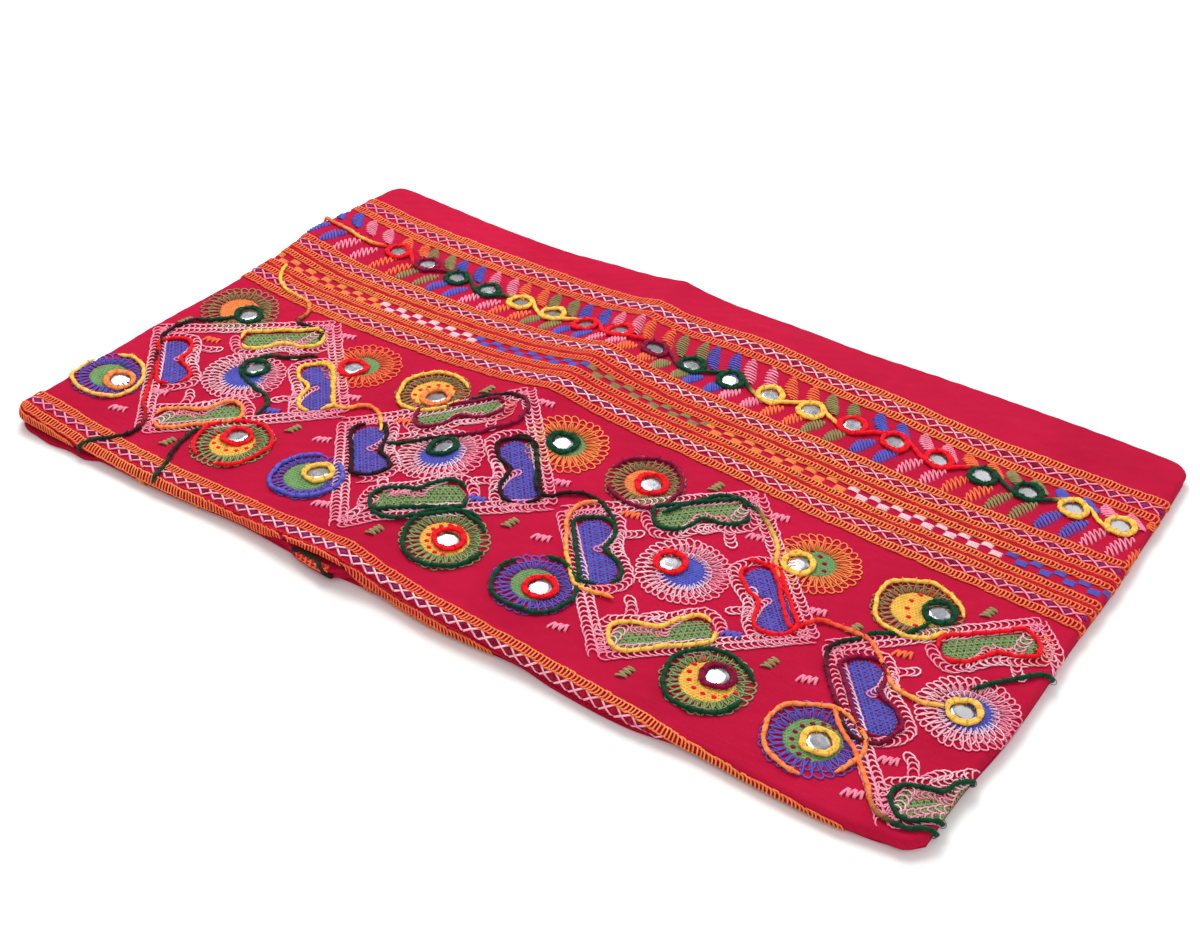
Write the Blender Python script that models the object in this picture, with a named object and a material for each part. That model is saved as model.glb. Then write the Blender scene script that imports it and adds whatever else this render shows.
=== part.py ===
"""Embroidered cotton dupatta, folded into a flat packet that lies on a table.

The cloth is 2.28 m by 0.91 m. It is folded in half along its length and its two ends are tucked
under, so the packet shows the middle third. Places are counted from the packet's front left
corner, x along the packet and y from the front edge to the back, and the finished pieces are
shifted so that the origin is under the middle of the packet.
"""
import math

import bmesh
import bpy
import numpy as np
from mathutils import Vector
from mathutils.bvhtree import BVHTree

# Driving sizes, metres
PACKET_LENGTH = 0.756
PACKET_DEPTH = 0.452
PACKET_HEIGHT = 0.0108
PACKET_MIDDLE = (0.37607, 0.23016)
CLOTH = 0.0016
SEAM_GAP = 0.0003
PAIR_HEIGHT = 0.0030
CORNER_RADIUS = 0.010

# The roll at the packet's edge: how far the flat grid stops short of the edge, and how deep
# the top layer wraps down each side. The left end is one fold round the whole packet. Along the
# front the lip's height over the table changes: it rises where the layers below look out.
GRID_INSET = 0.004
ROLL_REACH = 0.0036
FRONT_REACH = 0.0042
END_REACH = 0.005
FOLD_DROP = 0.0039
FRONT_LIP = {
    "x":      (0.000, 0.090, 0.112, 0.190, 0.215, 0.245, 0.272, 0.288, 0.312, 0.324, 0.342, 0.445,
               0.480, 0.575, 0.615, 0.756),
    "height": (0.0044, 0.0044, 0.0015, 0.0015, 0.0036, 0.0040, 0.0130, 0.0155, 0.0160, 0.0145, 0.0015,
               0.0015, 0.0036, 0.0036, 0.0015, 0.0015),
}
LEFT_LIP = 0.0004
RIGHT_LIP = 0.0037
ROLL_ANGLES = (60, 25, -15, -58)

# Cross crease, one row for each line from front to back
CREASE = {
    "y":          (0.000, 0.020, 0.140, 0.255, 0.315, 0.400, 0.456),
    "crest_x":    (0.316, 0.318, 0.324, 0.327, 0.327, 0.320, 0.313),
    "height":     (0.0090, 0.0105, 0.0160, 0.0205, 0.0198, 0.0110, 0.0095),
    "reach_left": (0.050, 0.050, 0.063, 0.068, 0.058, 0.038, 0.036),
    "reach_right": (0.060, 0.060, 0.085, 0.100, 0.072, 0.040, 0.040),
}
CREST_ROUNDING = 0.005

# Soft swells of the top layer
SWELLS = {
    "x":        (0.475, 0.423, 0.535, 0.000, 0.000, 0.230, 0.440),
    "y":        (0.265, 0.398, 0.380, 0.330, 0.040, 0.035, 0.010),
    "height":   (0.0038, 0.0112, 0.0055, 0.0100, 0.0060, 0.0025, 0.0035),
    "spread_x": (0.050, 0.046, 0.040, 0.030, 0.030, 0.040, 0.060),
    "spread_y": (0.075, 0.042, 0.055, 0.075, 0.090, 0.045, 0.060),
}

# Waviness of the four sides, as a shift towards +x or +y
FRONT_WAVE = {
    "x":     (0.000, 0.080, 0.160, 0.225, 0.280, 0.315, 0.350, 0.405, 0.470, 0.560, 0.605, 0.660,
              0.710, 0.740, 0.756),
    "shift": (0.0035, 0.0035, 0.0035, 0.0075, 0.0050, 0.0040, 0.0055, 0.0010, 0.0036, -0.0008, 0.0030,
              0.0010, 0.0014, 0.0060, 0.0066),
}
BACK_WAVE = {
    "x":     (0.000, 0.065, 0.110, 0.155, 0.200, 0.245, 0.290, 0.335, 0.380, 0.425, 0.470, 0.515,
              0.560, 0.605, 0.650, 0.695, 0.756),
    "shift": (0.0050, 0.0044, 0.0012, -0.0004, -0.0006, 0.0034, 0.0028, 0.0020, 0.0004, -0.0010, 0.0014,
              0.0032, 0.0062, 0.0092, 0.0098, 0.0092, 0.0066),
}
LEFT_WAVE = {
    "y":     (0.000, 0.020, 0.060, 0.100, 0.140, 0.180, 0.220, 0.260, 0.300, 0.340, 0.380, 0.420, 0.452),
    "shift": (-0.0045, -0.0010, -0.0006, -0.0022, -0.0046, -0.0040, -0.0006, 0.0024, 0.0026, -0.0030,
              -0.0004, -0.0022, -0.0030),
}
RIGHT_WAVE = {
    "y":     (0.000, 0.060, 0.120, 0.170, 0.220, 0.300, 0.340, 0.400, 0.452),
    "shift": (-0.0030, -0.0034, 0.0008, 0.0006, -0.0006, 0.0002, -0.0010, -0.0024, -0.0048),
}

# How far the two lower pairs of layers look out past their own line along the front
MIDDLE_SHOW = {
    "x":     (0.000, 0.266, 0.288, 0.300, 0.314, 0.328, 0.756),
    "reach": (0.0, 0.0, 0.0060, 0.0072, 0.0076, 0.0, 0.0),
}
BOTTOM_SHOW = {
    "x":     (0.000, 0.018, 0.040, 0.058, 0.075, 0.088, 0.275, 0.300, 0.318, 0.470, 0.500, 0.560,
              0.595, 0.712, 0.726, 0.738, 0.756),
    "reach": (0.0010, 0.0050, 0.0070, 0.0046, 0.0056, 0.0, 0.0, 0.0018, 0.0, 0.0, 0.0026, 0.0020,
              0.0, 0.0, 0.0010, 0.0, 0.0),
}
UNDER_LIFT = 0.5

# Reach and edge rounding of the two lower pairs of layers past the grid's edge
LAYER_REACH = 0.0012
MIDDLE_BACK_REACH = 0.0016
BOTTOM_BACK_REACH = 0.0014
BOTTOM_END_REACH = 0.0030
EDGE_ROUND = 0.0009
BACK_ROUND = 0.0006
SHOW_ROUND = 0.35

# Lines of the cloth grid, closer together at the crease and in the corners
GRID_X = (0.0, 0.003, 0.007, 0.012, 0.035, 0.065, 0.100, 0.135, 0.170, 0.205, 0.235, 0.262, 0.283,
          0.300, 0.312, 0.321, 0.330, 0.342, 0.358, 0.378, 0.402, 0.430, 0.462, 0.500, 0.540, 0.585,
          0.630, 0.675, 0.710, 0.736, 0.741, 0.745, 0.748)
GRID_Y = (0.0, 0.003, 0.007, 0.012, 0.030, 0.056, 0.086, 0.118, 0.150, 0.182, 0.214, 0.246,
          0.278, 0.308, 0.336, 0.362, 0.386, 0.408, 0.426, 0.432, 0.437, 0.441, 0.444)

# Sewn mirrors: one row in the leaf border, one in each square and one in each round
MIRROR_RADIUS = 0.0080
MIRROR_THICKNESS = 0.0010
MIRROR_SIDES = 8
ROW_START = 0.077
ROW_PITCH = 0.03468
ROW_COUNT = 20
ROW_LINE = {
    "x": (0.077, 0.146, 0.250, 0.300, 0.400, 0.480, 0.560, 0.630, 0.700, 0.736),
    "y": (0.361, 0.355, 0.350, 0.345, 0.343, 0.346, 0.350, 0.355, 0.357, 0.357),
}
SQUARE_MIRRORS = {
    "x": (0.1057, 0.3016, 0.5030, 0.7270),
    "y": (0.1525, 0.1426, 0.1365, 0.1225),
}
UPPER_MIRRORS = {
    "x": (0.0473, 0.1695, 0.2520, 0.3700, 0.4470, 0.5730, 0.6736),
    "y": (0.2064, 0.1956, 0.1965, 0.1974, 0.1974, 0.1870, 0.1980),
}
LOWER_MIRRORS = {
    "x": (0.0350, 0.1596, 0.2430, 0.3690, 0.4470, 0.5860, 0.6660),
    "y": (0.0770, 0.0760, 0.0725, 0.0644, 0.0626, 0.0610, 0.0480),
}

CRIMSON = (0.56, 0.018, 0.052, 1.0)
DEEP_CRIMSON = (0.36, 0.010, 0.030, 1.0)
PALE_GLASS = (0.72, 0.74, 0.76, 1.0)


def clear_scene():
    """Remove every object that is already in the file."""
    for item in list(bpy.data.objects):
        bpy.data.objects.remove(item, do_unlink=True)


def make_material(name, colour, roughness, metallic):
    """Principled surface of one colour."""
    material = bpy.data.materials.new(name)
    material.use_nodes = True
    shader = material.node_tree.nodes["Principled BSDF"]
    shader.inputs["Base Color"].default_value = colour
    shader.inputs["Roughness"].default_value = roughness
    shader.inputs["Metallic"].default_value = metallic
    return material


def through(places, values, at):
    """Smooth curve through a table's rows: a Hermite cubic between each two neighbours."""
    places = np.asarray(places, float)
    values = np.asarray(values, float)
    slopes = np.gradient(values, places)
    at = np.clip(at, places[0], places[-1])
    row = np.clip(np.searchsorted(places, at, side="right") - 1, 0, len(places) - 2)
    span = places[row + 1] - places[row]
    t = (at - places[row]) / span
    rise = t * t * (3 - 2 * t)
    bend_in = t * (1 - t) ** 2 * span * slopes[row]
    bend_out = -t * t * (1 - t) * span * slopes[row + 1]
    return values[row] * (1 - rise) + values[row + 1] * rise + bend_in + bend_out


def smooth_step(low, high, at):
    """Rise from 0 at low to 1 at high, level at both ends."""
    t = np.clip((at - low) / (high - low), 0, 1)
    return t * t * (3 - 2 * t)


def eased(places, values, at):
    """Level at each row of a table, with a smooth step from each row to the next."""
    places = np.asarray(places, float)
    values = np.asarray(values, float)
    row = np.clip(np.searchsorted(places, at, side="right") - 1, 0, len(places) - 2)
    share = smooth_step(places[row], places[row + 1], at)
    return values[row] * (1 - share) + values[row + 1] * share


def lift(x, y):
    """Height of the folds: a rounded tent along the crease, plus bell-shaped swells."""
    off = x - through(CREASE["y"], CREASE["crest_x"], y)
    reach_left = through(CREASE["y"], CREASE["reach_left"], y)
    reach_right = through(CREASE["y"], CREASE["reach_right"], y)
    reach = np.where(off < 0, reach_left, reach_right)
    away = np.sqrt(off * off + CREST_ROUNDING ** 2) - CREST_ROUNDING
    height = through(CREASE["y"], CREASE["height"], y) * np.exp(-away / reach)
    for cx, cy, tall, sx, sy in zip(*(SWELLS[key] for key in SWELLS)):
        height = height + tall * np.exp(-0.5 * ((x - cx) / sx) ** 2 - 0.5 * ((y - cy) / sy) ** 2)
    return height


def waved(x, y):
    """Shift plain packet places so that the four sides follow their wave tables."""
    along = x / PACKET_LENGTH
    across = y / PACKET_DEPTH
    left = through(LEFT_WAVE["y"], LEFT_WAVE["shift"], y)
    right = through(RIGHT_WAVE["y"], RIGHT_WAVE["shift"], y)
    front = through(FRONT_WAVE["x"], FRONT_WAVE["shift"], x)
    back = through(BACK_WAVE["x"], BACK_WAVE["shift"], x)
    return x + left * (1 - along) + right * along, y + front * (1 - across) + back * across


def rounded(x, y, length, depth, radius):
    """Carry a rectangle's square corners onto round ones by the square-to-disc formula."""
    qx = np.maximum(radius - x, 0) - np.maximum(x - (length - radius), 0)
    qy = np.maximum(radius - y, 0) - np.maximum(y - (depth - radius), 0)
    ux, uy = qx / radius, qy / radius
    dx = radius * ux * (1 - np.sqrt(1 - 0.5 * uy * uy))
    dy = radius * uy * (1 - np.sqrt(1 - 0.5 * ux * ux))
    return x + dx, y + dy


def cloth_grid():
    """Plan places of the cloth grid, its boundary loop, and the outward direction round it."""
    gx, gy = np.meshgrid(GRID_X, GRID_Y, indexing="ij")
    gx, gy = rounded(gx, gy, GRID_X[-1], GRID_Y[-1], CORNER_RADIUS)
    px, py = waved(gx + GRID_INSET, gy + GRID_INSET)
    across, deep = px.shape
    index = np.arange(across * deep).reshape(across, deep)
    loop = np.concatenate([index[:-1, 0], index[-1, :-1], index[:0:-1, -1], index[0, :0:-1]])
    plan = np.stack([px.ravel(), py.ravel()], axis=1)
    edge = plan[loop]
    tangent = np.roll(edge, -1, axis=0) - np.roll(edge, 1, axis=0)
    tangent /= np.linalg.norm(tangent, axis=1)[:, None]
    outward = np.stack([tangent[:, 1], -tangent[:, 0]], axis=1)
    return plan, index, loop, outward


def grid_faces(index, upward):
    """Two triangles for each cell, all cut along the same diagonal."""
    a, b = index[:-1, :-1].ravel(), index[1:, :-1].ravel()
    c, d = index[1:, 1:].ravel(), index[:-1, 1:].ravel()
    faces = np.concatenate([np.stack([a, b, c], 1), np.stack([a, c, d], 1)])
    return faces if upward else faces[:, ::-1]


def ring_faces(first, second):
    """Two triangles for each step between two closed rings that run the same way round."""
    next_first, next_second = np.roll(first, -1), np.roll(second, -1)
    lower = np.stack([first, second, next_second], 1)
    upper = np.stack([first, next_second, next_first], 1)
    return np.concatenate([lower, upper])


def make_piece(name, points, faces, material, flat_loop=None):
    """Mesh object from points and triangles, moved so that the packet's middle is the origin."""
    placed = np.asarray(points, float) - np.array([PACKET_MIDDLE[0], PACKET_MIDDLE[1], 0.0])
    mesh = bpy.data.meshes.new(name)
    all_faces = [tuple(int(i) for i in face) for face in faces]
    if flat_loop is not None:
        all_faces.append(tuple(int(i) for i in flat_loop))
    mesh.from_pydata([tuple(p) for p in placed], [], all_faces)
    shell = bmesh.new()
    shell.from_mesh(mesh)
    bmesh.ops.recalc_face_normals(shell, faces=shell.faces)
    bmesh.ops.triangulate(shell, faces=[f for f in shell.faces if len(f.verts) > 3])
    shell.to_mesh(mesh)
    shell.free()
    mesh.shade_smooth()
    mesh.set_sharp_from_angle(angle=math.radians(50))
    mesh.materials.append(material)
    piece = bpy.data.objects.new(name, mesh)
    bpy.context.collection.objects.link(piece)
    return piece


def side_shares(outward):
    """How much each loop point belongs to the front, the left end and the right end."""
    left = smooth_step(0.5, 0.95, np.maximum(-outward[:, 0], 0) ** 2)
    right = smooth_step(0.5, 0.95, np.maximum(outward[:, 0], 0) ** 2)
    front = smooth_step(0.5, 0.95, np.maximum(-outward[:, 1], 0) ** 2)
    back = smooth_step(0.5, 0.95, np.maximum(outward[:, 1], 0) ** 2)
    return front, back, left, right


def top_layer(material):
    """The shown stretch of cloth: a wall over the packet that rolls down at all four sides."""
    plan, index, loop, outward = cloth_grid()
    front, _, left, right = side_shares(outward)
    height = PACKET_HEIGHT + lift(plan[:, 0], plan[:, 1])
    count = len(plan)
    outer = np.column_stack([plan, height])
    inner = np.column_stack([plan, height - CLOTH])
    edge_plan, edge_top = plan[loop], height[loop]
    front_lip = eased(FRONT_LIP["x"], FRONT_LIP["height"], edge_plan[:, 0])
    side_drop = np.where(outward[:, 1] < 0, edge_top - front_lip, FOLD_DROP)
    drop = side_drop * (1 - left - right) + (edge_top - LEFT_LIP) * left
    drop = drop + (edge_top - RIGHT_LIP) * right
    reach = ROLL_REACH + (END_REACH - ROLL_REACH) * (left + right)
    reach = reach + (FRONT_REACH - ROLL_REACH) * front
    half = drop / 2
    middle = edge_top - half
    points, faces = [outer, inner], [grid_faces(index, True), grid_faces(index + count, False)]
    start = 2 * count
    rings = {}
    for side, thin in (("outer", 0.0), ("inner", CLOTH)):
        rings[side] = [loop if side == "outer" else loop + count]
        for angle in ROLL_ANGLES:
            out = (reach - thin) * math.cos(math.radians(angle))
            rise = (half - thin) * math.sin(math.radians(angle))
            points.append(np.column_stack([edge_plan + outward * out[:, None], middle + rise]))
            rings[side].append(np.arange(start, start + len(loop)))
            start += len(loop)
    for upper, lower in zip(rings["outer"][:-1], rings["outer"][1:]):
        faces.append(ring_faces(upper, lower))
    faces.append(ring_faces(rings["outer"][-1], rings["inner"][-1]))
    for upper, lower in zip(rings["inner"][:-1], rings["inner"][1:]):
        faces.append(ring_faces(upper, lower)[:, ::-1])
    return make_piece("top_layer", np.concatenate(points), np.concatenate(faces), material)


def hidden_layers(material):
    """The layers inside the packet as one solid, with a groove between layers at its edge."""
    plan, index, loop, outward = cloth_grid()
    raised = lift(plan[:, 0], plan[:, 1])
    count = len(plan)
    top = PACKET_HEIGHT + raised - CLOTH - SEAM_GAP
    base = 2 * (PAIR_HEIGHT + SEAM_GAP) + UNDER_LIFT * raised
    draw_in = np.zeros((count, 2))
    draw_in[loop] = -0.0008 * outward
    points = [np.column_stack([plan + draw_in, top]), np.column_stack([plan + draw_in, base])]
    faces = [grid_faces(index, True), grid_faces(index + count, False)]
    upper, start = loop, 2 * count
    for share, out in ((0.78, -0.0003), (0.50, -0.0012), (0.22, -0.0003)):
        level = base[loop] + share * (top - base)[loop]
        points.append(np.column_stack([plan[loop] + out * outward, level]))
        lower = np.arange(start, start + len(loop))
        faces.append(ring_faces(upper, lower))
        upper, start = lower, start + len(loop)
    faces.append(ring_faces(upper, loop + count))
    return make_piece("hidden_layers", np.concatenate(points), np.concatenate(faces), material)


def middle_fold(material):
    """Second pair of layers: flat below, lifted a little under the crease, showing in front."""
    plan, index, loop, outward = cloth_grid()
    front, back, _, _ = side_shares(outward)
    count = len(plan)
    base = PAIR_HEIGHT + SEAM_GAP
    top = base + PAIR_HEIGHT + UNDER_LIFT * lift(plan[:, 0], plan[:, 1])
    show = eased(MIDDLE_SHOW["x"], MIDDLE_SHOW["reach"], plan[loop, 0]) * front
    reach = LAYER_REACH + show + MIDDLE_BACK_REACH * back
    edge_round = EDGE_ROUND + BACK_ROUND * back + SHOW_ROUND * show
    half = (top[loop] - base) / 2
    points, faces = [np.column_stack([plan, top])], [grid_faces(index, True)]
    upper, start = loop, count
    for angle in (90, 40, -10, -55, -90):
        out = reach - edge_round * (1 - math.cos(math.radians(angle)))
        level = base + half * (1 + math.sin(math.radians(angle)))
        points.append(np.column_stack([plan[loop] + outward * out[:, None], level]))
        lower = np.arange(start, start + len(loop))
        faces.append(ring_faces(upper, lower))
        upper, start = lower, start + len(loop)
    return make_piece("middle_fold", np.concatenate(points), np.concatenate(faces), material, upper)


def bottom_fold(material):
    """Lowest pair of layers: a flat slab with rounded folds, whose underside rests on the table."""
    plan, _, loop, outward = cloth_grid()
    front, back, _, right = side_shares(outward)
    show = eased(BOTTOM_SHOW["x"], BOTTOM_SHOW["reach"], plan[loop, 0]) * front
    reach = LAYER_REACH + show + BOTTOM_BACK_REACH * back + BOTTOM_END_REACH * right
    edge_round = EDGE_ROUND + BACK_ROUND * (back + right)
    points, faces, rings = [], [], []
    for number, angle in enumerate((90, 40, -10, -55, -90)):
        out = reach - edge_round * (1 - math.cos(math.radians(angle)))
        level = np.full(len(loop), PAIR_HEIGHT / 2 * (1 + math.sin(math.radians(angle))))
        points.append(np.column_stack([plan[loop] + outward * out[:, None], level]))
        rings.append(np.arange(number * len(loop), (number + 1) * len(loop)))
    for upper, lower in zip(rings[:-1], rings[1:]):
        faces.append(ring_faces(upper, lower))
    faces = [tuple(int(i) for i in face) for face in np.concatenate(faces)]
    faces.append(tuple(int(i) for i in rings[0]))
    return make_piece("bottom_fold", np.concatenate(points), faces, material, rings[-1])


def mirror_places():
    """Plan places of all the sewn mirrors."""
    row_x = ROW_START + ROW_PITCH * np.arange(ROW_COUNT)
    row_y = through(ROW_LINE["x"], ROW_LINE["y"], row_x)
    across = np.concatenate([row_x, SQUARE_MIRRORS["x"], UPPER_MIRRORS["x"], LOWER_MIRRORS["x"]])
    deep = np.concatenate([row_y, SQUARE_MIRRORS["y"], UPPER_MIRRORS["y"], LOWER_MIRRORS["y"]])
    return np.column_stack([across, deep]) - np.array(PACKET_MIDDLE)


def sewn_mirror(name, place, cloth_tree, material):
    """Thin many-sided disc that lies on the cloth: the plane that fits the cloth below it best,
    raised until every part of the disc clears the cloth by the seam gap."""
    turns = 2 * math.pi * np.arange(MIRROR_SIDES) / MIRROR_SIDES
    rim = np.column_stack([np.cos(turns), np.sin(turns)])
    probes = np.concatenate([np.zeros((1, 2)), 0.55 * rim, rim]) * MIRROR_RADIUS
    heights = []
    for dx, dy in probes:
        start = Vector((place[0] + dx, place[1] + dy, 1.0))
        heights.append(cloth_tree.ray_cast(start, Vector((0, 0, -1)))[0].z)
    terms = np.column_stack([probes, np.ones(len(probes))])
    slope = np.linalg.lstsq(terms, np.array(heights), rcond=None)[0]
    clearance = SEAM_GAP + float(np.max(np.array(heights) - terms @ slope))
    base = rim * MIRROR_RADIUS
    level = base @ slope[:2] + slope[2] + clearance
    lower = np.column_stack([base + place, level])
    upper = lower + np.array([0, 0, MIRROR_THICKNESS])
    shift = np.array([PACKET_MIDDLE[0], PACKET_MIDDLE[1], 0.0])
    points = np.concatenate([lower, upper]) + shift
    ring = np.arange(MIRROR_SIDES)
    faces = [tuple(int(i) for i in face) for face in ring_faces(ring + MIRROR_SIDES, ring)]
    faces.append(tuple(int(i) for i in ring[::-1]))
    return make_piece(name, points, faces, material, ring + MIRROR_SIDES)


def main():
    """Build the packet's layers from the table up, then the mirrors on its top."""
    clear_scene()
    cotton = make_material("crimson_cotton", CRIMSON, 0.85, 0.0)
    inner_cotton = make_material("inner_cotton", DEEP_CRIMSON, 0.9, 0.0)
    glass = make_material("mirror_glass", PALE_GLASS, 0.15, 1.0)
    bottom_fold(cotton)
    middle_fold(cotton)
    hidden_layers(inner_cotton)
    cloth = top_layer(cotton)
    bpy.context.view_layer.update()
    cloth_tree = BVHTree.FromObject(cloth, bpy.context.evaluated_depsgraph_get())
    for number, place in enumerate(mirror_places(), start=1):
        sewn_mirror(f"mirror_{number:02d}", place, cloth_tree, glass)


main()
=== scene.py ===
"""Looks of a folded, hand embroidered cotton dupatta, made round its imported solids.

Charts of the thread work are in centimetres on the packet's plan, x from its left end and y from
its front edge. The cloth's own functions use the same plan in metres. PACKET_MIDDLE carries them
to the frame, whose origin is under the middle of the packet.
"""

import math

import bpy
import numpy as np
from mathutils import Matrix, Vector


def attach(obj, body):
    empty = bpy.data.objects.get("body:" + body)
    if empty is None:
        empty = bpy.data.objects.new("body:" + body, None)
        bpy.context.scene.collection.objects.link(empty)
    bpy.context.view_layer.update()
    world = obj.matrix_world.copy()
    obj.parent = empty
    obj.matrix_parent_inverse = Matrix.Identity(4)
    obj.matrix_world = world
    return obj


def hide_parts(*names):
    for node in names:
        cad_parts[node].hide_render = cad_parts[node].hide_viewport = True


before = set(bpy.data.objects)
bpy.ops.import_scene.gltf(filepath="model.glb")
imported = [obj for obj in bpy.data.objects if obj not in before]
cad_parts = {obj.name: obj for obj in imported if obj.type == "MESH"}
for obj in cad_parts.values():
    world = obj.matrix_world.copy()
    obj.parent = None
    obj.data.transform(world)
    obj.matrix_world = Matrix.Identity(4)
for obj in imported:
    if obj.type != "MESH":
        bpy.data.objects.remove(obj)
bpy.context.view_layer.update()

# Sizes of the packet, metres, as its solids have them
PACKET_LENGTH = 0.756
PACKET_DEPTH = 0.452
PACKET_HEIGHT = 0.0108
PACKET_MIDDLE = (0.37607, 0.23016)
PAIR_HEIGHT = 0.0030
SEAM_GAP = 0.0003
CLOTH = 0.0012
CORNER_RADIUS = 0.010
GRID_INSET = 0.004
GRID_LENGTH = PACKET_LENGTH - 2 * GRID_INSET
GRID_DEPTH = PACKET_DEPTH - 2 * GRID_INSET
ROLL_REACH = 0.0036
FRONT_REACH = 0.0042
END_REACH = 0.005
FOLD_DROP = 0.0039
LEFT_LIP = 0.0004
RIGHT_LIP = 0.0037
UNDER_LIFT = 0.5
LAYER_REACH = 0.0012
MIDDLE_BACK_REACH = 0.0016
BOTTOM_BACK_REACH = 0.0014
BOTTOM_END_REACH = 0.0030
FRONT_DRAPE = 0.9

# Height over the table of the shown layer's lip along the front
FRONT_LIP = {
    "x":      (0.000, 0.090, 0.112, 0.190, 0.215, 0.245, 0.272, 0.288, 0.312, 0.324, 0.342, 0.445,
               0.480, 0.575, 0.615, 0.756),
    "height": (0.0044, 0.0044, 0.0015, 0.0015, 0.0036, 0.0040, 0.0130, 0.0155, 0.0160, 0.0145, 0.0015,
               0.0015, 0.0036, 0.0036, 0.0015, 0.0015),
}

# Cross crease, one row for each line from front to back
CREASE = {
    "y":          (0.000, 0.020, 0.140, 0.255, 0.315, 0.400, 0.456),
    "crest_x":    (0.316, 0.318, 0.324, 0.327, 0.327, 0.320, 0.313),
    "height":     (0.0090, 0.0105, 0.0160, 0.0205, 0.0198, 0.0110, 0.0095),
    "reach_left": (0.050, 0.050, 0.063, 0.068, 0.058, 0.038, 0.036),
    "reach_right": (0.060, 0.060, 0.085, 0.100, 0.072, 0.040, 0.040),
}
CREST_ROUNDING = 0.005

# Soft swells of the top layer
SWELLS = {
    "x":        (0.475, 0.423, 0.535, 0.000, 0.000, 0.230, 0.440),
    "y":        (0.265, 0.398, 0.380, 0.330, 0.040, 0.035, 0.010),
    "height":   (0.0038, 0.0112, 0.0055, 0.0100, 0.0060, 0.0025, 0.0035),
    "spread_x": (0.050, 0.046, 0.040, 0.030, 0.030, 0.040, 0.060),
    "spread_y": (0.075, 0.042, 0.055, 0.075, 0.090, 0.045, 0.060),
}

# Small soft creases, listed one by one: middle, direction in degrees, length, width and depth
SOFT_CREASES = {
    "x":      (0.105, 0.060, 0.200, 0.262, 0.395, 0.420, 0.505, 0.560, 0.610, 0.655, 0.700, 0.728,
               0.655, 0.540, 0.240, 0.120, 0.030, 0.330, 0.470, 0.600),
    "y":      (0.425, 0.235, 0.430, 0.245, 0.425, 0.020, 0.440, 0.018, 0.030, 0.430, 0.235, 0.110,
               0.020, 0.245, 0.025, 0.010, 0.130, 0.050, 0.008, 0.415),
    "turn":   (6, 84, -4, 70, 12, 8, -6, 24, 152, 5, 70, 96, 12, 82, 20, -12, 80, 62, 10, -10),
    "length": (0.070, 0.030, 0.055, 0.022, 0.050, 0.040, 0.060, 0.028, 0.022, 0.080, 0.024, 0.050,
               0.036, 0.020, 0.045, 0.030, 0.055, 0.030, 0.050, 0.045),
    "width":  (0.0060, 0.0050, 0.0070, 0.0050, 0.0055, 0.0050, 0.0065, 0.0045, 0.0040, 0.0080, 0.0045,
               0.0050, 0.0045, 0.0045, 0.0050, 0.0040, 0.0055, 0.0050, 0.0050, 0.0060),
    "depth":  (0.0008, 0.0006, -0.0007, 0.0006, 0.0008, -0.0007, -0.0007, 0.0007, -0.0006, 0.0008,
               0.0006, -0.0006, 0.0007, 0.0005, -0.0007, 0.0006, 0.0006, -0.0006, 0.0007, -0.0006),
}
# Height of the puckers that tight stitches draw into the cloth
PUCKER_HEIGHT = 0.00026

# Waviness of the four sides, as a shift towards +x or +y
FRONT_WAVE = {
    "x":     (0.000, 0.080, 0.160, 0.225, 0.280, 0.315, 0.350, 0.405, 0.470, 0.560, 0.605, 0.660,
              0.710, 0.740, 0.756),
    "shift": (0.0035, 0.0035, 0.0035, 0.0075, 0.0050, 0.0040, 0.0055, 0.0010, 0.0036, -0.0008, 0.0030,
              0.0010, 0.0014, 0.0060, 0.0066),
}
BACK_WAVE = {
    "x":     (0.000, 0.065, 0.110, 0.155, 0.200, 0.245, 0.290, 0.335, 0.380, 0.425, 0.470, 0.515,
              0.560, 0.605, 0.650, 0.695, 0.756),
    "shift": (0.0050, 0.0044, 0.0012, -0.0004, -0.0006, 0.0034, 0.0028, 0.0020, 0.0004, -0.0010, 0.0014,
              0.0032, 0.0062, 0.0092, 0.0098, 0.0092, 0.0066),
}
LEFT_WAVE = {
    "y":     (0.000, 0.020, 0.060, 0.100, 0.140, 0.180, 0.220, 0.260, 0.300, 0.340, 0.380, 0.420, 0.452),
    "shift": (-0.0045, -0.0010, -0.0006, -0.0022, -0.0046, -0.0040, -0.0006, 0.0024, 0.0026, -0.0030,
              -0.0004, -0.0022, -0.0030),
}
RIGHT_WAVE = {
    "y":     (0.000, 0.060, 0.120, 0.170, 0.220, 0.300, 0.340, 0.400, 0.452),
    "shift": (-0.0030, -0.0034, 0.0008, 0.0006, -0.0006, 0.0002, -0.0010, -0.0024, -0.0048),
}

# How far the two lower pairs of layers look out past their own line along the front
MIDDLE_SHOW = {
    "x":     (0.000, 0.266, 0.288, 0.300, 0.314, 0.328, 0.756),
    "reach": (0.0, 0.0, 0.0060, 0.0072, 0.0076, 0.0, 0.0),
}
BOTTOM_SHOW = {
    "x":     (0.000, 0.018, 0.040, 0.058, 0.075, 0.088, 0.275, 0.300, 0.318, 0.470, 0.500, 0.560,
              0.595, 0.712, 0.726, 0.738, 0.756),
    "reach": (0.0010, 0.0050, 0.0070, 0.0046, 0.0056, 0.0, 0.0, 0.0018, 0.0, 0.0, 0.0026, 0.0020,
              0.0, 0.0, 0.0010, 0.0, 0.0),
}

# One centimetre of the charts, metres
CM = 0.01

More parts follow.
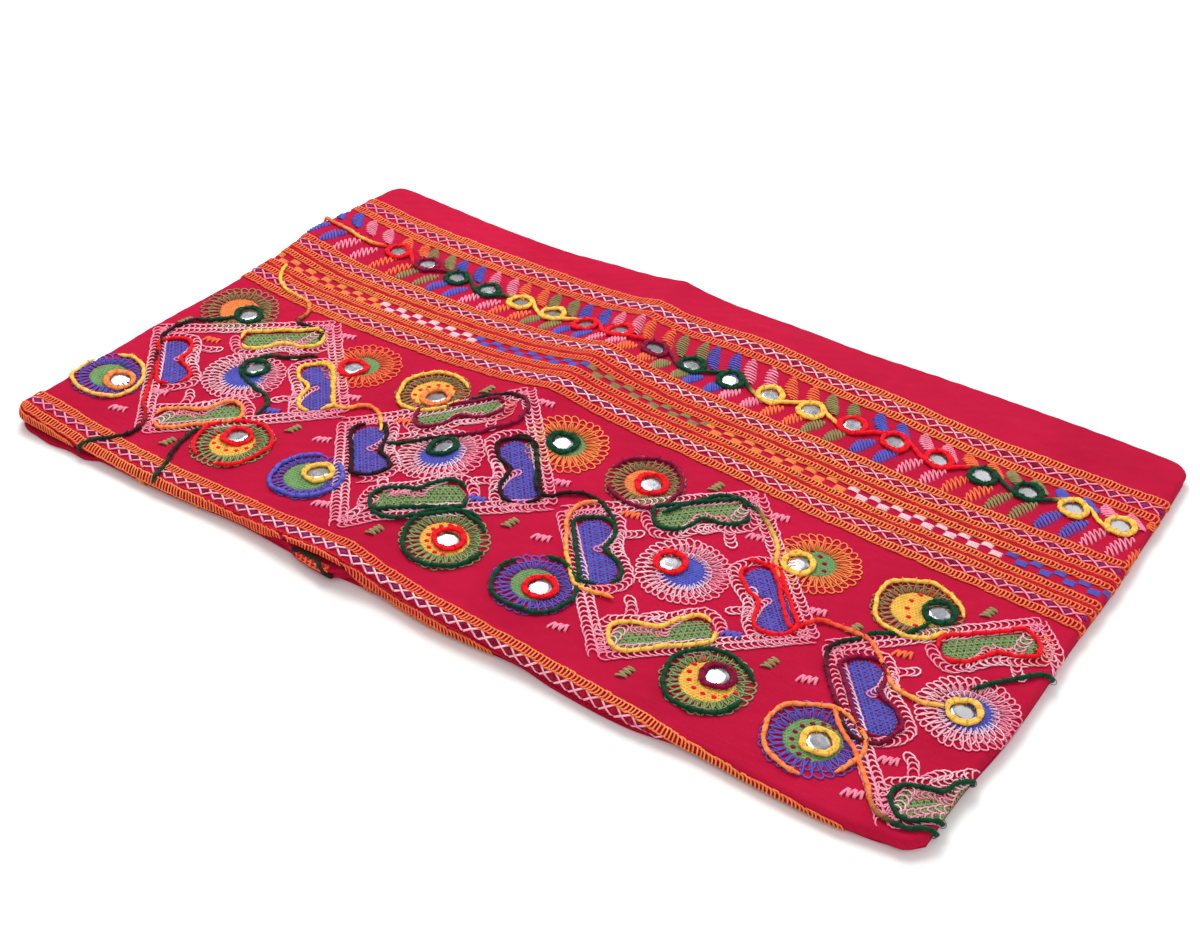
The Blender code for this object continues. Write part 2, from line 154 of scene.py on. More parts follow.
# Dye shades of cloth and thread, as a screen shows them, 0 to 255
SHADES = {
    "orange": (255, 116, 70), "yellow": (255, 196, 84), "pink": (255, 142, 170),
    "pale_pink": (255, 206, 216), "blue": (88, 92, 196), "lilac": (200, 190, 240),
    "green": (124, 166, 104), "olive": (150, 136, 88), "dark_green": (12, 66, 42),
    "brown_black": (44, 22, 26), "red": (240, 18, 36), "maroon": (134, 12, 56),
    "deep_red": (196, 10, 38), "purple": (142, 44, 130), "amber": (255, 142, 76),
}

# Radius of the thread of each kind of stitch, metres
THREAD = {
    "ladder": 0.00070, "stem": 0.00070, "lattice": 0.00080, "diamond": 0.00052, "brick": 0.00048,
    "leaf": 0.00086, "leaf_return": 0.00062, "ray": 0.00058, "inner_ray": 0.00052,
    "round_loop": 0.00045, "bean_loop": 0.00052, "frame": 0.00064, "sprig": 0.00066,
    "zigzag": 0.00110, "couching": 0.00030, "fold_round": 0.00070,
}

PATCH_HEIGHT = 0.0004

# How far a stitch of a band may be off its place
WAVER = 0.03

# First and last chart x of the bands
BAND_START = -1.5
BAND_END = 77.2

# Centre lines of the four lattice bands, centimetres
LATTICES = (
    {"x": (-2, 13, 25, 35, 50, 68, 78), "y": (40.45, 40.15, 40.0, 39.6, 39.25, 39.15, 39.25)},
    {"x": (-2, 13, 22, 32, 49, 60, 78), "y": (31.7, 31.35, 31.25, 31.05, 30.85, 30.95, 31.0)},
    {"x": (-2, 13, 22, 32, 47, 55, 64, 78), "y": (26.0, 25.7, 25.6, 25.45, 25.4, 25.3, 25.2, 24.95)},
    {"x": (-2, 5, 12, 22, 30, 35, 40, 45, 50, 55, 60, 65, 70, 78),
     "y": (1.95, 1.83, 1.40, 1.32, 1.28, 0.88, 0.48, 0.22, 0.04, -0.15, -0.66, -1.02, -1.25, -1.45)},
)
LATTICE_PITCH = 1.2
LATTICE_HEIGHT = (1.02, 0.86, 0.86, 0.84)
DIAMOND_STITCHES = (-0.20, -0.10, 0.0, 0.10, 0.20)
DIAMOND_SHADES = ("purple", "maroon", "maroon", "purple", "maroon", "deep_red", "maroon", "purple")

# Ladder rows beside the lattices: which lattice, how far from its centre line, how near to it the
# row may slide where the front fold leaves it no room, and how wide
LADDER_ROWS = {
    "lattice": (0, 0, 1, 1, 1, 2, 2, 2, 3, 3, 3),
    "offset":  (0.92, -1.18, 0.75, -0.87, -2.00, 1.80, 0.76, -1.00, 0.70, -1.06, -1.95),
    "nearest": (0.92, -1.18, 0.75, -0.87, -2.00, 1.80, 0.76, -1.00, 0.70, -0.80, -1.50),
    "width":   (0.80, 0.80, 0.66, 0.60, 0.60, 0.60, 0.60, 0.72, 0.66, 0.66, 0.62),
}
LADDER_PITCH = 0.28
LADDER_SHADES = ("orange", "amber", "orange", "orange", "amber", "amber", "orange")
STEM_LINES = {
    "lattice": (1, 1, 1, 2, 2, 2, 3),
    "offset":  (-1.30, -1.43, -1.56, 1.15, 1.28, 1.41, -0.60),
}
STEM_PITCH = 0.34
STEM_LENGTH = 0.50

# Checker band between the second and third lattice, in runs of one colour
BRICK_RUNS = {
    "start":  (-1.5, 12.0, 22.0, 33.0, 43.8, 56.0, 68.3),
    "colour": ("amber", "pale_pink", "blue", "olive", "amber", "pale_pink", "blue"),
}
BRICK_END = 77.0
BRICK_PITCH = 1.74
BRICK_LENGTH = 0.88
BRICK_LEVELS = (28.46, 27.86)
BRICK_THREADS = 6
BRICK_THREAD_PITCH = 0.10

# The checker follows this share of how far the second lattice is from its usual level
BRICK_FOLLOW = 0.6
LATTICE_LEVEL = 31.0

# Leaf border: where its pairs of leaves stand, how far the two twins of a pair are from there, and
# how near the leaves come to the lattices
LEAF_PAIRS = (-2.3, 1.0, 4.5, 8.6, 11.6, 14.9, 18.5, 21.7, 24.9, 28.2, 31.6, 34.6, 37.8, 40.8, 44.1,
              47.8, 51.3, 55.4, 59.2, 62.8, 66.2, 70.0, 73.4, 76.8)
LEAF_COLOURS = ("blue", "pink", "orange", "olive")
FIRST_LEAF_COLOUR = 3
TWIN_LEAF = 0.94
UPPER_LEAF_GAP = 1.66
LOWER_LEAF_GAP = 1.22

# Row of mirrors in the leaf border: its places, its line and the cord round each mirror
ROW_START = 7.7
ROW_PITCH = 3.468
ROW_LINE = {
    "x": (7.7, 14.6, 25.0, 30.0, 40.0, 48.0, 56.0, 63.0, 70.0, 73.6),
    "y": (36.1, 35.5, 35.0, 34.5, 34.3, 34.6, 35.0, 35.5, 35.7, 35.7),
}
ROW_RINGS = (
    "red", "maroon", "dark_green", "dark_green", "yellow", "yellow", "red", "red", "maroon",
    "dark_green", "dark_green", "yellow", "yellow", "red", "red", "red", "dark_green",
    "dark_green", "yellow", "yellow",
)

# Tilted squares: corners, middle of the round in them, and its mirror
SQUARES = (
    {"top": (11.2, 23.7), "right": (20.3, 14.35), "bottom": (9.4, 4.3), "left": (0.6, 14.9),
     "middle": (10.5, 13.9), "mirror": (10.57, 15.25), "ring": "dark_green"},
    {"top": (31.2, 23.25), "right": (40.05, 13.8), "bottom": (29.6, 3.4), "left": (21.35, 13.45),
     "middle": (30.5, 13.45), "mirror": (30.16, 14.26), "ring": "dark_green"},
    {"top": (51.4, 23.25), "right": (61.6, 12.85), "bottom": (51.3, 3.4), "left": (41.3, 13.8),
     "middle": (51.4, 13.5), "mirror": (50.30, 13.65), "ring": "red"},
    {"top": (73.1, 22.7), "right": (82.8, 12.4), "bottom": (72.9, 1.3), "left": (63.0, 12.85),
     "middle": (72.9, 12.4), "mirror": (72.70, 12.25), "ring": "yellow"},
)

# Rows of a square's chain frame, from its outer one
FRAME_ROWS = {"aside": (-0.24, 0.34), "width": (0.72, 0.60)}
FRAME_PITCH = 0.45
SPRIG_PITCH = 0.46
HOOK_PITCH = 0.36

# Crossing loops of a square's middle, from the outer ring in
MEDALLION_RAYS = {
    "inner":  (2.10, 1.60, 1.40),
    "outer":  (3.3, 2.75, 1.90),
    "count":  (36, 32, 28),
    "names":  (("pink", "pale_pink", "pink"), ("pink", "pale_pink"), ("lilac", "pale_pink", "lilac")),
    "thread": (0.00062, 0.00056, 0.00056),
    "lean":   (0.1, -0.1, 0.0),
}
MEDALLION_DISC = 1.6

# Beans inside the squares. The notch is on the side towards the square's middle, and the depth of
# the notch is a share of the bean's half width.
BEANS = {
    "square": (0, 0, 0, 0, 1, 1, 1, 1, 2, 2, 2, 2, 3, 3, 3),
    "x":      (9.4, 16.3, 4.7, 11.6, 28.3, 36.3, 25.4, 32.5, 49.3, 57.5, 45.5, 53.6, 71.4, 67.3, 75.0),
    "y":      (19.6, 15.9, 12.2, 8.0, 18.6, 15.2, 11.6, 8.6, 19.1, 14.4, 11.7, 7.4, 18.7, 10.2, 4.9),
    "turn":   (38, -48, -47, 46, 42, -50, -48, 42, 44, -48, -50, 44, 42, -50, 44),
    "length": (6.2, 6.2, 5.8, 6.2, 6.4, 6.4, 6.4, 6.4, 6.4, 6.5, 6.6, 6.6, 6.2, 6.7, 6.2),
    "width":  (2.1, 2.2, 2.1, 2.1, 2.1, 2.4, 2.3, 2.2, 2.1, 2.3, 2.4, 2.2, 2.1, 2.3, 2.3),
    "fill":   ("green", "blue", "blue", "green", "green", "blue", "blue", "green", "green",
               "blue", "blue", "green", "green", "blue", "green"),
    "chain":  ("pink", "pink", "pink", "pink", "red", "pink", "pink", "pink", "pink", "pink", "pink",
               "pink", "orange", "pink", "pink"),
    "cord":   ("yellow", "yellow", "red", "amber", "maroon", "brown_black", "brown_black",
               "dark_green", "dark_green", "red", "dark_green", "yellow", "red", "maroon",
               "dark_green"),
}

BEAN_KNOT_ROWS = (-0.72, -0.30, 0.12, 0.54, 0.90)
NOTCH_DEPTH = 0.95
NOTCH_WIDTH = 0.62

# Rounds between the squares, the upper line and then the lower one. The fill is a share of the
# radius.
ROUNDS = {
    "x":        (3.65, 17.3, 24.5, 37.3, 44.2, 58.3, 66.0, 2.4, 16.2, 23.8, 36.6, 44.2, 58.3, 66.2),
    "y":        (20.8, 20.2, 20.1, 19.8, 19.7, 19.5, 19.3, 7.6, 6.8, 6.6, 6.35, 6.35, 5.4, 4.8),
    "fill":     (0.52, 0.44, 0.60, 0.43, 0.52, 0.44, 0.58, 0.52, 0.56, 0.62, 0.56, 0.54, 0.60, 0.56),
    "radius":   (3.2, 3.15, 2.9, 3.15, 2.9, 3.1, 3.1, 2.9, 3.1, 2.8, 3.1, 3.05, 3.07, 3.3),
    "mirror_x": (4.73, 16.95, 25.20, 37.00, 44.70, 57.30, 67.36, 3.50, 15.96, 24.30, 36.90, 44.70,
                 58.60, 66.60),
    "mirror_y": (20.64, 19.56, 19.65, 19.74, 19.74, 18.70, 19.80, 7.70, 7.60, 7.25, 6.44, 6.26,
                 6.10, 4.80),
    "loops":    ("olive", "orange", "olive", "amber", "olive", "amber", "olive", "blue", "green",
                 "blue", "green", "blue", "green", "blue"),
    "outline":  ("", "", "yellow", "", "maroon", "", "yellow", "yellow", "red", "blue",
                 "dark_green", "dark_green", "dark_green", "amber"),
    "crescent": ("amber", "green", "yellow", "green", "amber", "green", "yellow", "green", "yellow",
                 "green", "yellow", "green", "yellow", "green"),
    "dots":     ("", "", "red", "", "", "maroon", "red", "", "red", "", "red", "", "red", "maroon"),
    "ring":     ("dark_green", "red", "amber", "dark_green", "red", "yellow", "dark_green", "amber",
                 "red", "yellow", "red", "red", "maroon", "yellow"),
}

# Mirrors: radius in centimetres, random tilt, and the disc's profile from its under side over its
# bevel to its middle, as shares of the radius and metres over the cloth
MIRROR_RADIUS = 0.80
MIRROR_TILT = 0.03
MIRROR_PROFILE = {
    "reach": (0.0, 0.98, 1.0, 1.0, 0.96, 0.55, 0.0),
    "level": (0.0003, 0.0003, 0.0005, 0.0011, 0.0013, 0.00132, 0.00134),
}

# Fills of small loops: loops and rows to each side of the middle, and the steps between them
ROUND_GRID = (8, 9, 0.26, 0.225)
MEDALLION_GRID = (7, 8, 0.24, 0.21)
BEAN_GRID = (13, 5, 0.250, 0.255)
LOOP_SIZE = {"round": 0.13, "medallion": 0.12, "bean": 0.138}
FILL_MARGIN = 0.08

# Small zigzag marks in the field
ZIGZAGS = {
    "pink": ((13.4, 23.0), (19.6, 16.4), (21.5, 10.85), (6.0, 5.2), (33.5, 22.5), (39.4, 16.2),
             (41.75, 10.6), (27.0, 4.65), (47.9, 4.0), (53.9, 22.3), (60.7, 15.3), (63.4, 9.3),
             (70.3, 2.3), (70.8, 5.9), (6.9, 8.6), (53.6, 19.5)),
    "olive": ((18.7, 10.7), (12.1, 4.3), (1.3, 17.0), (28.1, 22.3), (39.1, 10.5), (32.4, 4.0),
              (48.6, 22.3), (60.7, 9.2), (53.7, 3.1), (70.0, 21.8), (63.5, 15.2)),
    "blue": ((15.7, 11.65), (35.8, 11.0), (57.3, 10.1)),
    "orange": ((4.9, 16.3), (25.1, 15.9), (45.3, 16.3), (67.2, 14.9)),
}

# A mark's half run, half climb, and how far each stroke swings aside and up
LYING_MARK = (0.56, 0.20, 0.02, 0.36)
STANDING_MARK = (0.10, 0.54, 0.34, 0.04)

# Couched cords: the points of each route, and its colours from end to end
CORDS = (
    {"route": ((2.2, 28.0), (3.0, 26.3), (4.2, 25.5), (6.2, 25.2), (7.5, 24.9), (8.3, 23.8),
               (8.6, 22.3), (9.9, 22.3), (11.5, 22.1), (11.9, 21.2)),
     "colours": ("yellow", "yellow", "amber", "brown_black", "dark_green")},
    {"route": ((4.2, 19.8), (3.2, 18.5), (1.9, 17.3), (1.4, 16.0), (1.6, 14.2), (2.9, 12.3),
               (4.3, 10.5), (5.6, 8.7), (6.9, 6.9), (8.3, 5.7), (9.1, 4.5), (9.1, 3.4), (8.6, 2.3),
               (7.7, 1.2), (7.1, 0.2), (6.8, -0.4)),
     "colours": ("dark_green", "brown_black", "brown_black", "red", "brown_black", "dark_green")},
    {"route": ((13.6, 19.2), (12.0, 18.1), (10.3, 17.0), (9.5, 15.8), (9.9, 14.4), (11.2, 13.6),
               (12.2, 13.2), (14.0, 12.8), (14.9, 11.9), (15.1, 10.5)),
     "colours": ("brown_black", "dark_green", "dark_green", "dark_green")},
    {"route": ((13.1, 6.9), (12.8, 5.9), (13.0, 4.8), (13.6, 3.2), (14.3, 1.7), (14.8, 0.2)),
     "colours": ("dark_green", "brown_black", "dark_green")},
    {"route": ((14.0, 18.0), (14.6, 18.9), (15.6, 18.5), (17.5, 16.6), (19.4, 14.7), (20.2, 14.9),
               (21.0, 15.7), (21.9, 16.0), (23.6, 15.0), (24.5, 13.9)),
     "colours": ("yellow", "yellow", "yellow", "orange", "yellow")},
    {"route": ((27.8, 20.1), (28.7, 21.4), (30.0, 22.1), (31.4, 22.2), (32.6, 21.4), (33.1, 19.8),
               (32.5, 18.0), (30.9, 16.3), (29.0, 15.2), (27.5, 13.8), (26.0, 12.8)),
     "colours": ("dark_green", "brown_black", "maroon", "maroon", "brown_black", "dark_green")},
    {"route": ((30.7, 5.5), (32.0, 5.3), (33.8, 7.0), (35.4, 8.8), (36.4, 9.5), (37.4, 9.4)),
     "colours": ("dark_green",)},
    {"route": ((33.8, 17.7), (34.6, 18.4), (35.8, 17.9), (37.2, 16.2), (38.4, 14.6), (39.3, 14.2),
               (40.3, 15.3), (41.3, 16.0), (42.6, 16.1), (43.8, 15.6), (44.9, 14.9)),
     "colours": ("brown_black", "dark_green", "brown_black", "brown_black", "dark_green")},
    {"route": ((42.7, 16.0), (41.8, 14.9), (41.8, 13.8), (42.7, 12.1), (44.9, 9.3), (46.5, 7.9),
               (48.1, 8.1), (49.2, 8.3)),
     "colours": ("amber", "amber", "yellow", "amber")},
    {"route": ((47.0, 17.6), (48.4, 20.2), (50.0, 22.0), (51.9, 21.9), (54.0, 20.7), (55.2, 19.5),
               (56.0, 18.0), (57.0, 16.7)),
     "colours": ("dark_green", "dark_green", "dark_green", "yellow", "amber")},
    {"route": ((54.4, 17.0), (55.8, 17.3), (57.2, 16.2), (58.6, 14.4), (60.1, 12.9), (61.2, 14.4),
               (63.1, 14.8), (65.0, 14.6), (66.6, 13.2), (68.2, 11.7), (70.1, 11.5), (71.5, 11.9)),
     "colours": ("red", "red", "red", "orange", "amber", "yellow")},
    {"route": ((72.2, 14.3), (73.2, 15.8), (74.4, 17.2), (75.2, 18.1), (76.4, 19.0)),
     "colours": ("dark_green",)},
    {"route": ((67.3, 18.6), (66.9, 17.3), (65.8, 16.2), (64.8, 15.5), (64.1, 14.4), (63.1, 12.7),
               (63.6, 11.2), (64.9, 9.5), (66.3, 8.0), (67.4, 6.7), (68.6, 6.3), (69.8, 6.9),
               (70.1, 8.3)),
     "colours": ("dark_green", "dark_green", "brown_black", "maroon", "brown_black", "maroon")},
    {"route": ((65.9, 7.9), (67.4, 6.4), (69.2, 4.9), (70.2, 3.8), (71.0, 2.8), (72.0, 1.7),
               (73.0, 1.4), (73.9, 1.5), (75.0, 2.2), (76.2, 3.1)),
     "colours": ("amber", "orange", "amber", "dark_green", "dark_green")},
    {"route": ((-1.4, 35.9), (0.5, 35.7), (3.0, 35.6), (5.6, 35.8), (6.6, 36.1)),
     "colours": ("orange", "orange", "yellow", "red")},
)
CORD_RADIUS = 0.0016
CORD_HEIGHT = 0.0019
CORD_TWIST = 900.0
COUCHING_PITCH = 0.9

# How far round the edge's roll threads, cords and the front bands may go, as shares of its turn
SHOWN_TURN = 0.90
CORD_TURN = 0.84
LIP_SHARE = 0.74

# Round on the second fold where it looks out under the cross crease, metres
FOLD_ROUND_X = (0.2850, 0.3140)
FOLD_ROUND_ROWS = (0.36, 0.60, 0.84, 1.08, 1.32)
FOLD_ROUND_KNOTS = (0.70, 1.15)
FOLD_FACING = np.array([0.0, -0.62, 0.78])

# Lights of the studio, metres and watts
LAMPS = {
    "name":  ("key", "fill", "back"),
    "place": ((-1.0, 0.9, 1.9), (1.6, -1.4, 1.8), (0.4, 2.0, 1.2)),
    "size":  (1.3, 2.0, 1.5),
    "power": (47.0, 17.0, 10.0),
}
SKY_STRENGTH = 0.58
FLOOR_SIZE = 6.0
FLOOR_LEVEL = -0.0002

# Camera at the photograph's angle: its place, the rows of its rotation, and its lens
CAMERA_PLACE = (0.60961, -0.89826, 0.77959)
CAMERA_TURN = ((0.82354, -0.34629, 0.44929), (0.56709, 0.48324, -0.66701), (0.01387, 0.80409, 0.59434))
CAMERA_LENS = 53.51

# Grids of the cloth pieces: the steps between lines along and across the packet, metres
SHOWN_GRID = (0.0030, 0.0030)
FOLD_GRID = (0.0050, 0.0090)
INNER_GRID = (0.0080, 0.0120)

# How far round the two ends the shown layer goes, as a share of the turn
END_WRAP = 0.82

# Inner folds: how far they lie under the shown face, and their reach. Depths of the folds' seams.
INNER_DROP = 0.0021
INNER_REACH = -0.0004
SEAM_DEPTH = {"inner": 0.0008, "second": 0.0012, "lowest": 0.0009}

# One turn in radians, as the random start angles and the medallions' small loops have it
FULL_TURN = 6.28
rng = np.random.default_rng(31)


def rows(table):
    """Rows of a table that holds its columns by name."""
    return zip(*table.values())


def running(steps):
    """Running total of the steps, from nought."""
    return np.concatenate([[0], np.cumsum(steps)])


def unit(vectors):
    """Vectors brought to a length of one."""
    return vectors / np.linalg.norm(vectors, axis=-1, keepdims=True)


def through(places, values, at):
    """Smooth curve through a table's rows: a Hermite cubic between each two neighbours."""
    places = np.asarray(places, float)
    values = np.asarray(values, float)
    slopes = np.gradient(values, places)
    at = np.clip(at, places[0], places[-1])
    row = np.clip(np.searchsorted(places, at, side="right") - 1, 0, len(places) - 2)
    span = places[row + 1] - places[row]
    t = (at - places[row]) / span
    rise = t * t * (3 - 2 * t)
    bend_in = t * (1 - t) ** 2 * span * slopes[row]
    bend_out = -t * t * (1 - t) * span * slopes[row + 1]
    return values[row] * (1 - rise) + values[row + 1] * rise + bend_in + bend_out


def smooth_step(low, high, at):
    """Rise from 0 at low to 1 at high, level at both ends."""
    t = np.clip((at - low) / (high - low), 0, 1)
    return t * t * (3 - 2 * t)


def eased(places, values, at):
    """Level at each row of a table, with a smooth step from each row to the next."""
    places = np.asarray(places, float)
    values = np.asarray(values, float)
    row = np.clip(np.searchsorted(places, at, side="right") - 1, 0, len(places) - 2)
    share = smooth_step(places[row], places[row + 1], at)
    return values[row] * (1 - share) + values[row + 1] * share


def lift(x, y):
    """Height of the folds: a rounded tent along the crease, plus bell-shaped swells."""
    off = x - through(CREASE["y"], CREASE["crest_x"], y)
    reach_left = through(CREASE["y"], CREASE["reach_left"], y)
    reach_right = through(CREASE["y"], CREASE["reach_right"], y)
    reach = np.where(off < 0, reach_left, reach_right)
    away = np.sqrt(off * off + CREST_ROUNDING ** 2) - CREST_ROUNDING
    height = through(CREASE["y"], CREASE["height"], y) * np.exp(-away / reach)
    for cx, cy, tall, sx, sy in rows(SWELLS):
        height = height + tall * np.exp(-0.5 * ((x - cx) / sx) ** 2 - 0.5 * ((y - cy) / sy) ** 2)
    return height


def softness(x, y):
    """Small creases: each is a bell across its line that fades with the fourth power along it.
    Puckers are two crossed sine waves that the tight stitches draw into the cloth."""
    puckers_x = np.sin(x * 310 + 2.1 * np.sin(y * 95))
    puckers_y = np.sin(y * 270 + 1.7 * np.sin(x * 60))
    relief = PUCKER_HEIGHT * puckers_x * puckers_y
    for cx, cy, turn, length, width, depth in rows(SOFT_CREASES):
        run, rise = math.cos(math.radians(turn)), math.sin(math.radians(turn))
        along = ((x - cx) * run + (y - cy) * rise) / length
        across = ((y - cy) * run - (x - cx) * rise + 0.004 * np.sin(along * 2.4)) / width
        relief = relief + depth * np.exp(-across * across - along ** 4)
    return relief


def cloth_height(x, y):
    """Height of the shown face over the table."""
    return PACKET_HEIGHT + lift(x, y) + softness(x, y)


def side_shift(x, y):
    """Shift of the plain rectangle towards its wavy sides, blended across the packet."""
    along = x / PACKET_LENGTH
    across = y / PACKET_DEPTH
    left = through(LEFT_WAVE["y"], LEFT_WAVE["shift"], y)
    right = through(RIGHT_WAVE["y"], RIGHT_WAVE["shift"], y)
    front = through(FRONT_WAVE["x"], FRONT_WAVE["shift"], x)
    back = through(BACK_WAVE["x"], BACK_WAVE["shift"], x)
    return left * (1 - along) + right * along, front * (1 - across) + back * across


def corner_shares(u, v):
    """How far a place is into a corner, along each axis: 1 on the left or front side, -1 on the
    right or back side, 0 away from the corners."""
    radius = CORNER_RADIUS
    sx = np.clip((radius - u) / radius, 0, 1) - np.clip((u - GRID_LENGTH + radius) / radius, 0, 1)
    sy = np.clip((radius - v) / radius, 0, 1) - np.clip((v - GRID_DEPTH + radius) / radius, 0, 1)
    return sx, sy


def edge_shape(u, v):
    """Plan place, outward direction and roll sizes for a place (u, v) of the flat rectangle. Its
    square corners go onto round ones by the square-to-disc formula."""
    sx, sy = corner_shares(u, v)
    keep_x, keep_y = np.sqrt(1 - 0.5 * sy * sy), np.sqrt(1 - 0.5 * sx * sx)
    flat_x = u + CORNER_RADIUS * sx * (1 - keep_x) + GRID_INSET
    flat_y = v + CORNER_RADIUS * sy * (1 - keep_y) + GRID_INSET
    shift_x, shift_y = side_shift(flat_x, flat_y)
    out_x, out_y = -sx * keep_x, -sy * keep_y
    left = smooth_step(0.5, 0.95, np.maximum(-out_x, 0) ** 2)
    right = smooth_step(0.5, 0.95, np.maximum(out_x, 0) ** 2)
    return flat_x + shift_x, flat_y + shift_y, out_x, out_y, left, right


def roll_sizes(x, top, out_y, left, right):
    """Reach and half height of the roll at the packet's edge, and the length round it. The front
    comes down to its lip table, the back a set drop, and the two ends to their own lips."""
    front_drop = top - eased(FRONT_LIP["x"], FRONT_LIP["height"], x)
    drop = np.where(out_y < 0, front_drop, FOLD_DROP) * (1 - left - right)
    drop = drop + (top - LEFT_LIP) * left + (top - RIGHT_LIP) * right
    front = smooth_step(0.5, 0.95, np.maximum(-out_y, 0) ** 2)
    reach = ROLL_REACH + (END_REACH - ROLL_REACH) * (left + right)
    reach = reach + (FRONT_REACH - ROLL_REACH) * front
    half = drop / 2
    return reach, half, math.pi * np.sqrt((reach * reach + half * half) / 2)


def cloth_frame(u, v, over):
    """Place and outward direction on the cloth. Inside the rectangle it is the height function.
    What runs past the edge by `over` goes round half an ellipse, then back in under the fold."""
    x, y, out_x, out_y, left, right = edge_shape(u, v)
    top = cloth_height(x, y)
    reach, half, around = roll_sizes(x, top, out_y, left, right)
    turn = math.pi / 2 - math.pi * np.minimum(over / around, 1)
    out = reach * np.cos(turn) - np.maximum(over - around, 0)
    place = np.stack([x + out_x * out - PACKET_MIDDLE[0], y + out_y * out - PACKET_MIDDLE[1],
                      top - half + half * np.sin(turn)], axis=-1)
    step = 0.0004
    slope_x = (cloth_height(x + step, y) - top) / step
    slope_y = (cloth_height(x, y + step) - top) / step
    flat_way = np.stack([-slope_x, -slope_y, np.ones_like(top)], axis=-1)
    rim = np.cos(turn) / reach
    rim_way = np.stack([out_x * rim, out_y * rim, np.sin(turn) / half], axis=-1)
    way = np.where((over > 0)[..., None], rim_way, flat_way)
    return place, unit(way)


def lay(x, y):
    """Cloth place and outward direction for chart places in centimetres, and how far each is
    round the roll, as a share of the half turn."""
    x, y = np.asarray(x, float) * CM, np.asarray(y, float) * CM
    shift_x, shift_y = side_shift(x, y)
    u, v = x - shift_x - GRID_INSET, y - shift_y - GRID_INSET
    inner_u, inner_v = np.clip(u, 0, GRID_LENGTH), np.clip(v, 0, GRID_DEPTH)
    past_v = (v - inner_v) * np.where(v < 0, FRONT_DRAPE, 1.0)
    over = np.hypot(u - inner_u, past_v)
    edge_x, edge_y, _, out_y, left, right = edge_shape(inner_u, inner_v)
    around = roll_sizes(edge_x, cloth_height(edge_x, edge_y), out_y, left, right)[2]
    place, way = cloth_frame(inner_u, inner_v, over)
    return place, way, over / around


def shade(name):
    """A dye shade as linear light: the screen curve undone."""
    screen = np.array(SHADES[name]) / 255
    return np.where(screen <= 0.04045, screen / 12.92, ((screen + 0.055) / 1.055) ** 2.4)


def mixed(names, shares):
    """Colour at each share along a strand, blended between evenly spaced named shades."""
    stops = np.linspace(0, 1, len(names))
    table = np.array([shade(name) for name in names])
    return np.stack([np.interp(shares, stops, table[:, c]) for c in range(3)], axis=-1)


def tubes(place, way, radius, colour, sides=3, flat=0.8, lobes=0.0, twist=0.0):
    """Strands along (n, k) places: a ring of `sides` points round each place, wider than it is
    high by `flat`, with two lobes that turn along the strand where the strand is a cord."""
    tangent = np.gradient(place, axis=1)
    tangent /= np.linalg.norm(tangent, axis=-1, keepdims=True) + 1e-12
    side = np.cross(way, tangent)
    side /= np.linalg.norm(side, axis=-1, keepdims=True) + 1e-12
    up = np.cross(tangent, side)
    steps = np.linalg.norm(np.diff(place, axis=1), axis=-1)
    along = np.concatenate([np.zeros((len(place), 1)), np.cumsum(steps, axis=1)], axis=1)
    count, length = along.shape
    turn = 2 * math.pi * np.arange(sides) / sides + math.pi / 6
    swell = 1 + lobes * np.cos(2 * turn + twist * along[..., None])
    reach = np.broadcast_to(np.asarray(radius, float), along.shape)[..., None] * swell
    ring = place[:, :, None] + (reach * np.cos(turn))[..., None] * side[:, :, None]
    ring = ring + (reach * flat * np.sin(turn))[..., None] * up[:, :, None]
    index = np.arange(count * length * sides).reshape(count, length, sides)
    near, far = index[:, :-1], index[:, 1:]
    walls = np.stack([near, np.roll(near, -1, 2), np.roll(far, -1, 2), far], axis=-1)
    caps = np.concatenate([index[:, 0, ::-1], index[:, -1]])
    start = np.broadcast_to(along[:, :-1, None], near.shape)
    end = np.broadcast_to(along[:, 1:, None], near.shape)
    low = np.broadcast_to(np.arange(sides) / sides, near.shape)
    high = low + 1 / sides
    wall_uv = np.stack([np.stack([start, low], -1), np.stack([start, high], -1),
                        np.stack([end, high], -1), np.stack([end, low], -1)], axis=-2)
    cap_along = np.concatenate([along[:, 0], along[:, -1]])
    cap_uv = np.stack([np.repeat(cap_along, sides), np.full(len(cap_along) * sides, 0.5)], axis=-1)
    dye = np.broadcast_to(colour, (count, length, 3))
    return {
        "points": ring.reshape(-1, 3),
        "corners": np.concatenate([walls.ravel(), caps.ravel()]),
        "sizes": np.concatenate([np.full(walls.size // 4, 4), np.full(len(caps), sides)]),
        "uv": np.concatenate([wall_uv.reshape(-1, 2), cap_uv]),
        "dye": np.repeat(dye.reshape(-1, 3), sides, axis=0),
    }


def strands(x, y, above, radius, colour, **shape):
    """Threads on the cloth at chart places (n, k), raised by `above` metres. A strand that would
    reach past the shown part of the roll is left out."""
    place, way, turn = lay(x, y)
    shown = turn.max(axis=1) < SHOWN_TURN
    colour = colour[:, None] if colour.ndim == 2 else colour
    raised = place + way * np.broadcast_to(above, turn.shape)[..., None]
    return tubes(raised[shown], way[shown], radius, colour[shown], **shape)


def as_route(x, y, at):
    """Route through chart places: the length so far and the unit way at each of them."""
    run = np.stack([np.gradient(x), np.gradient(y)])
    run /= np.linalg.norm(run, axis=0)
    return {"at": at, "x": x, "y": y, "run_x": run[0], "run_y": run[1]}


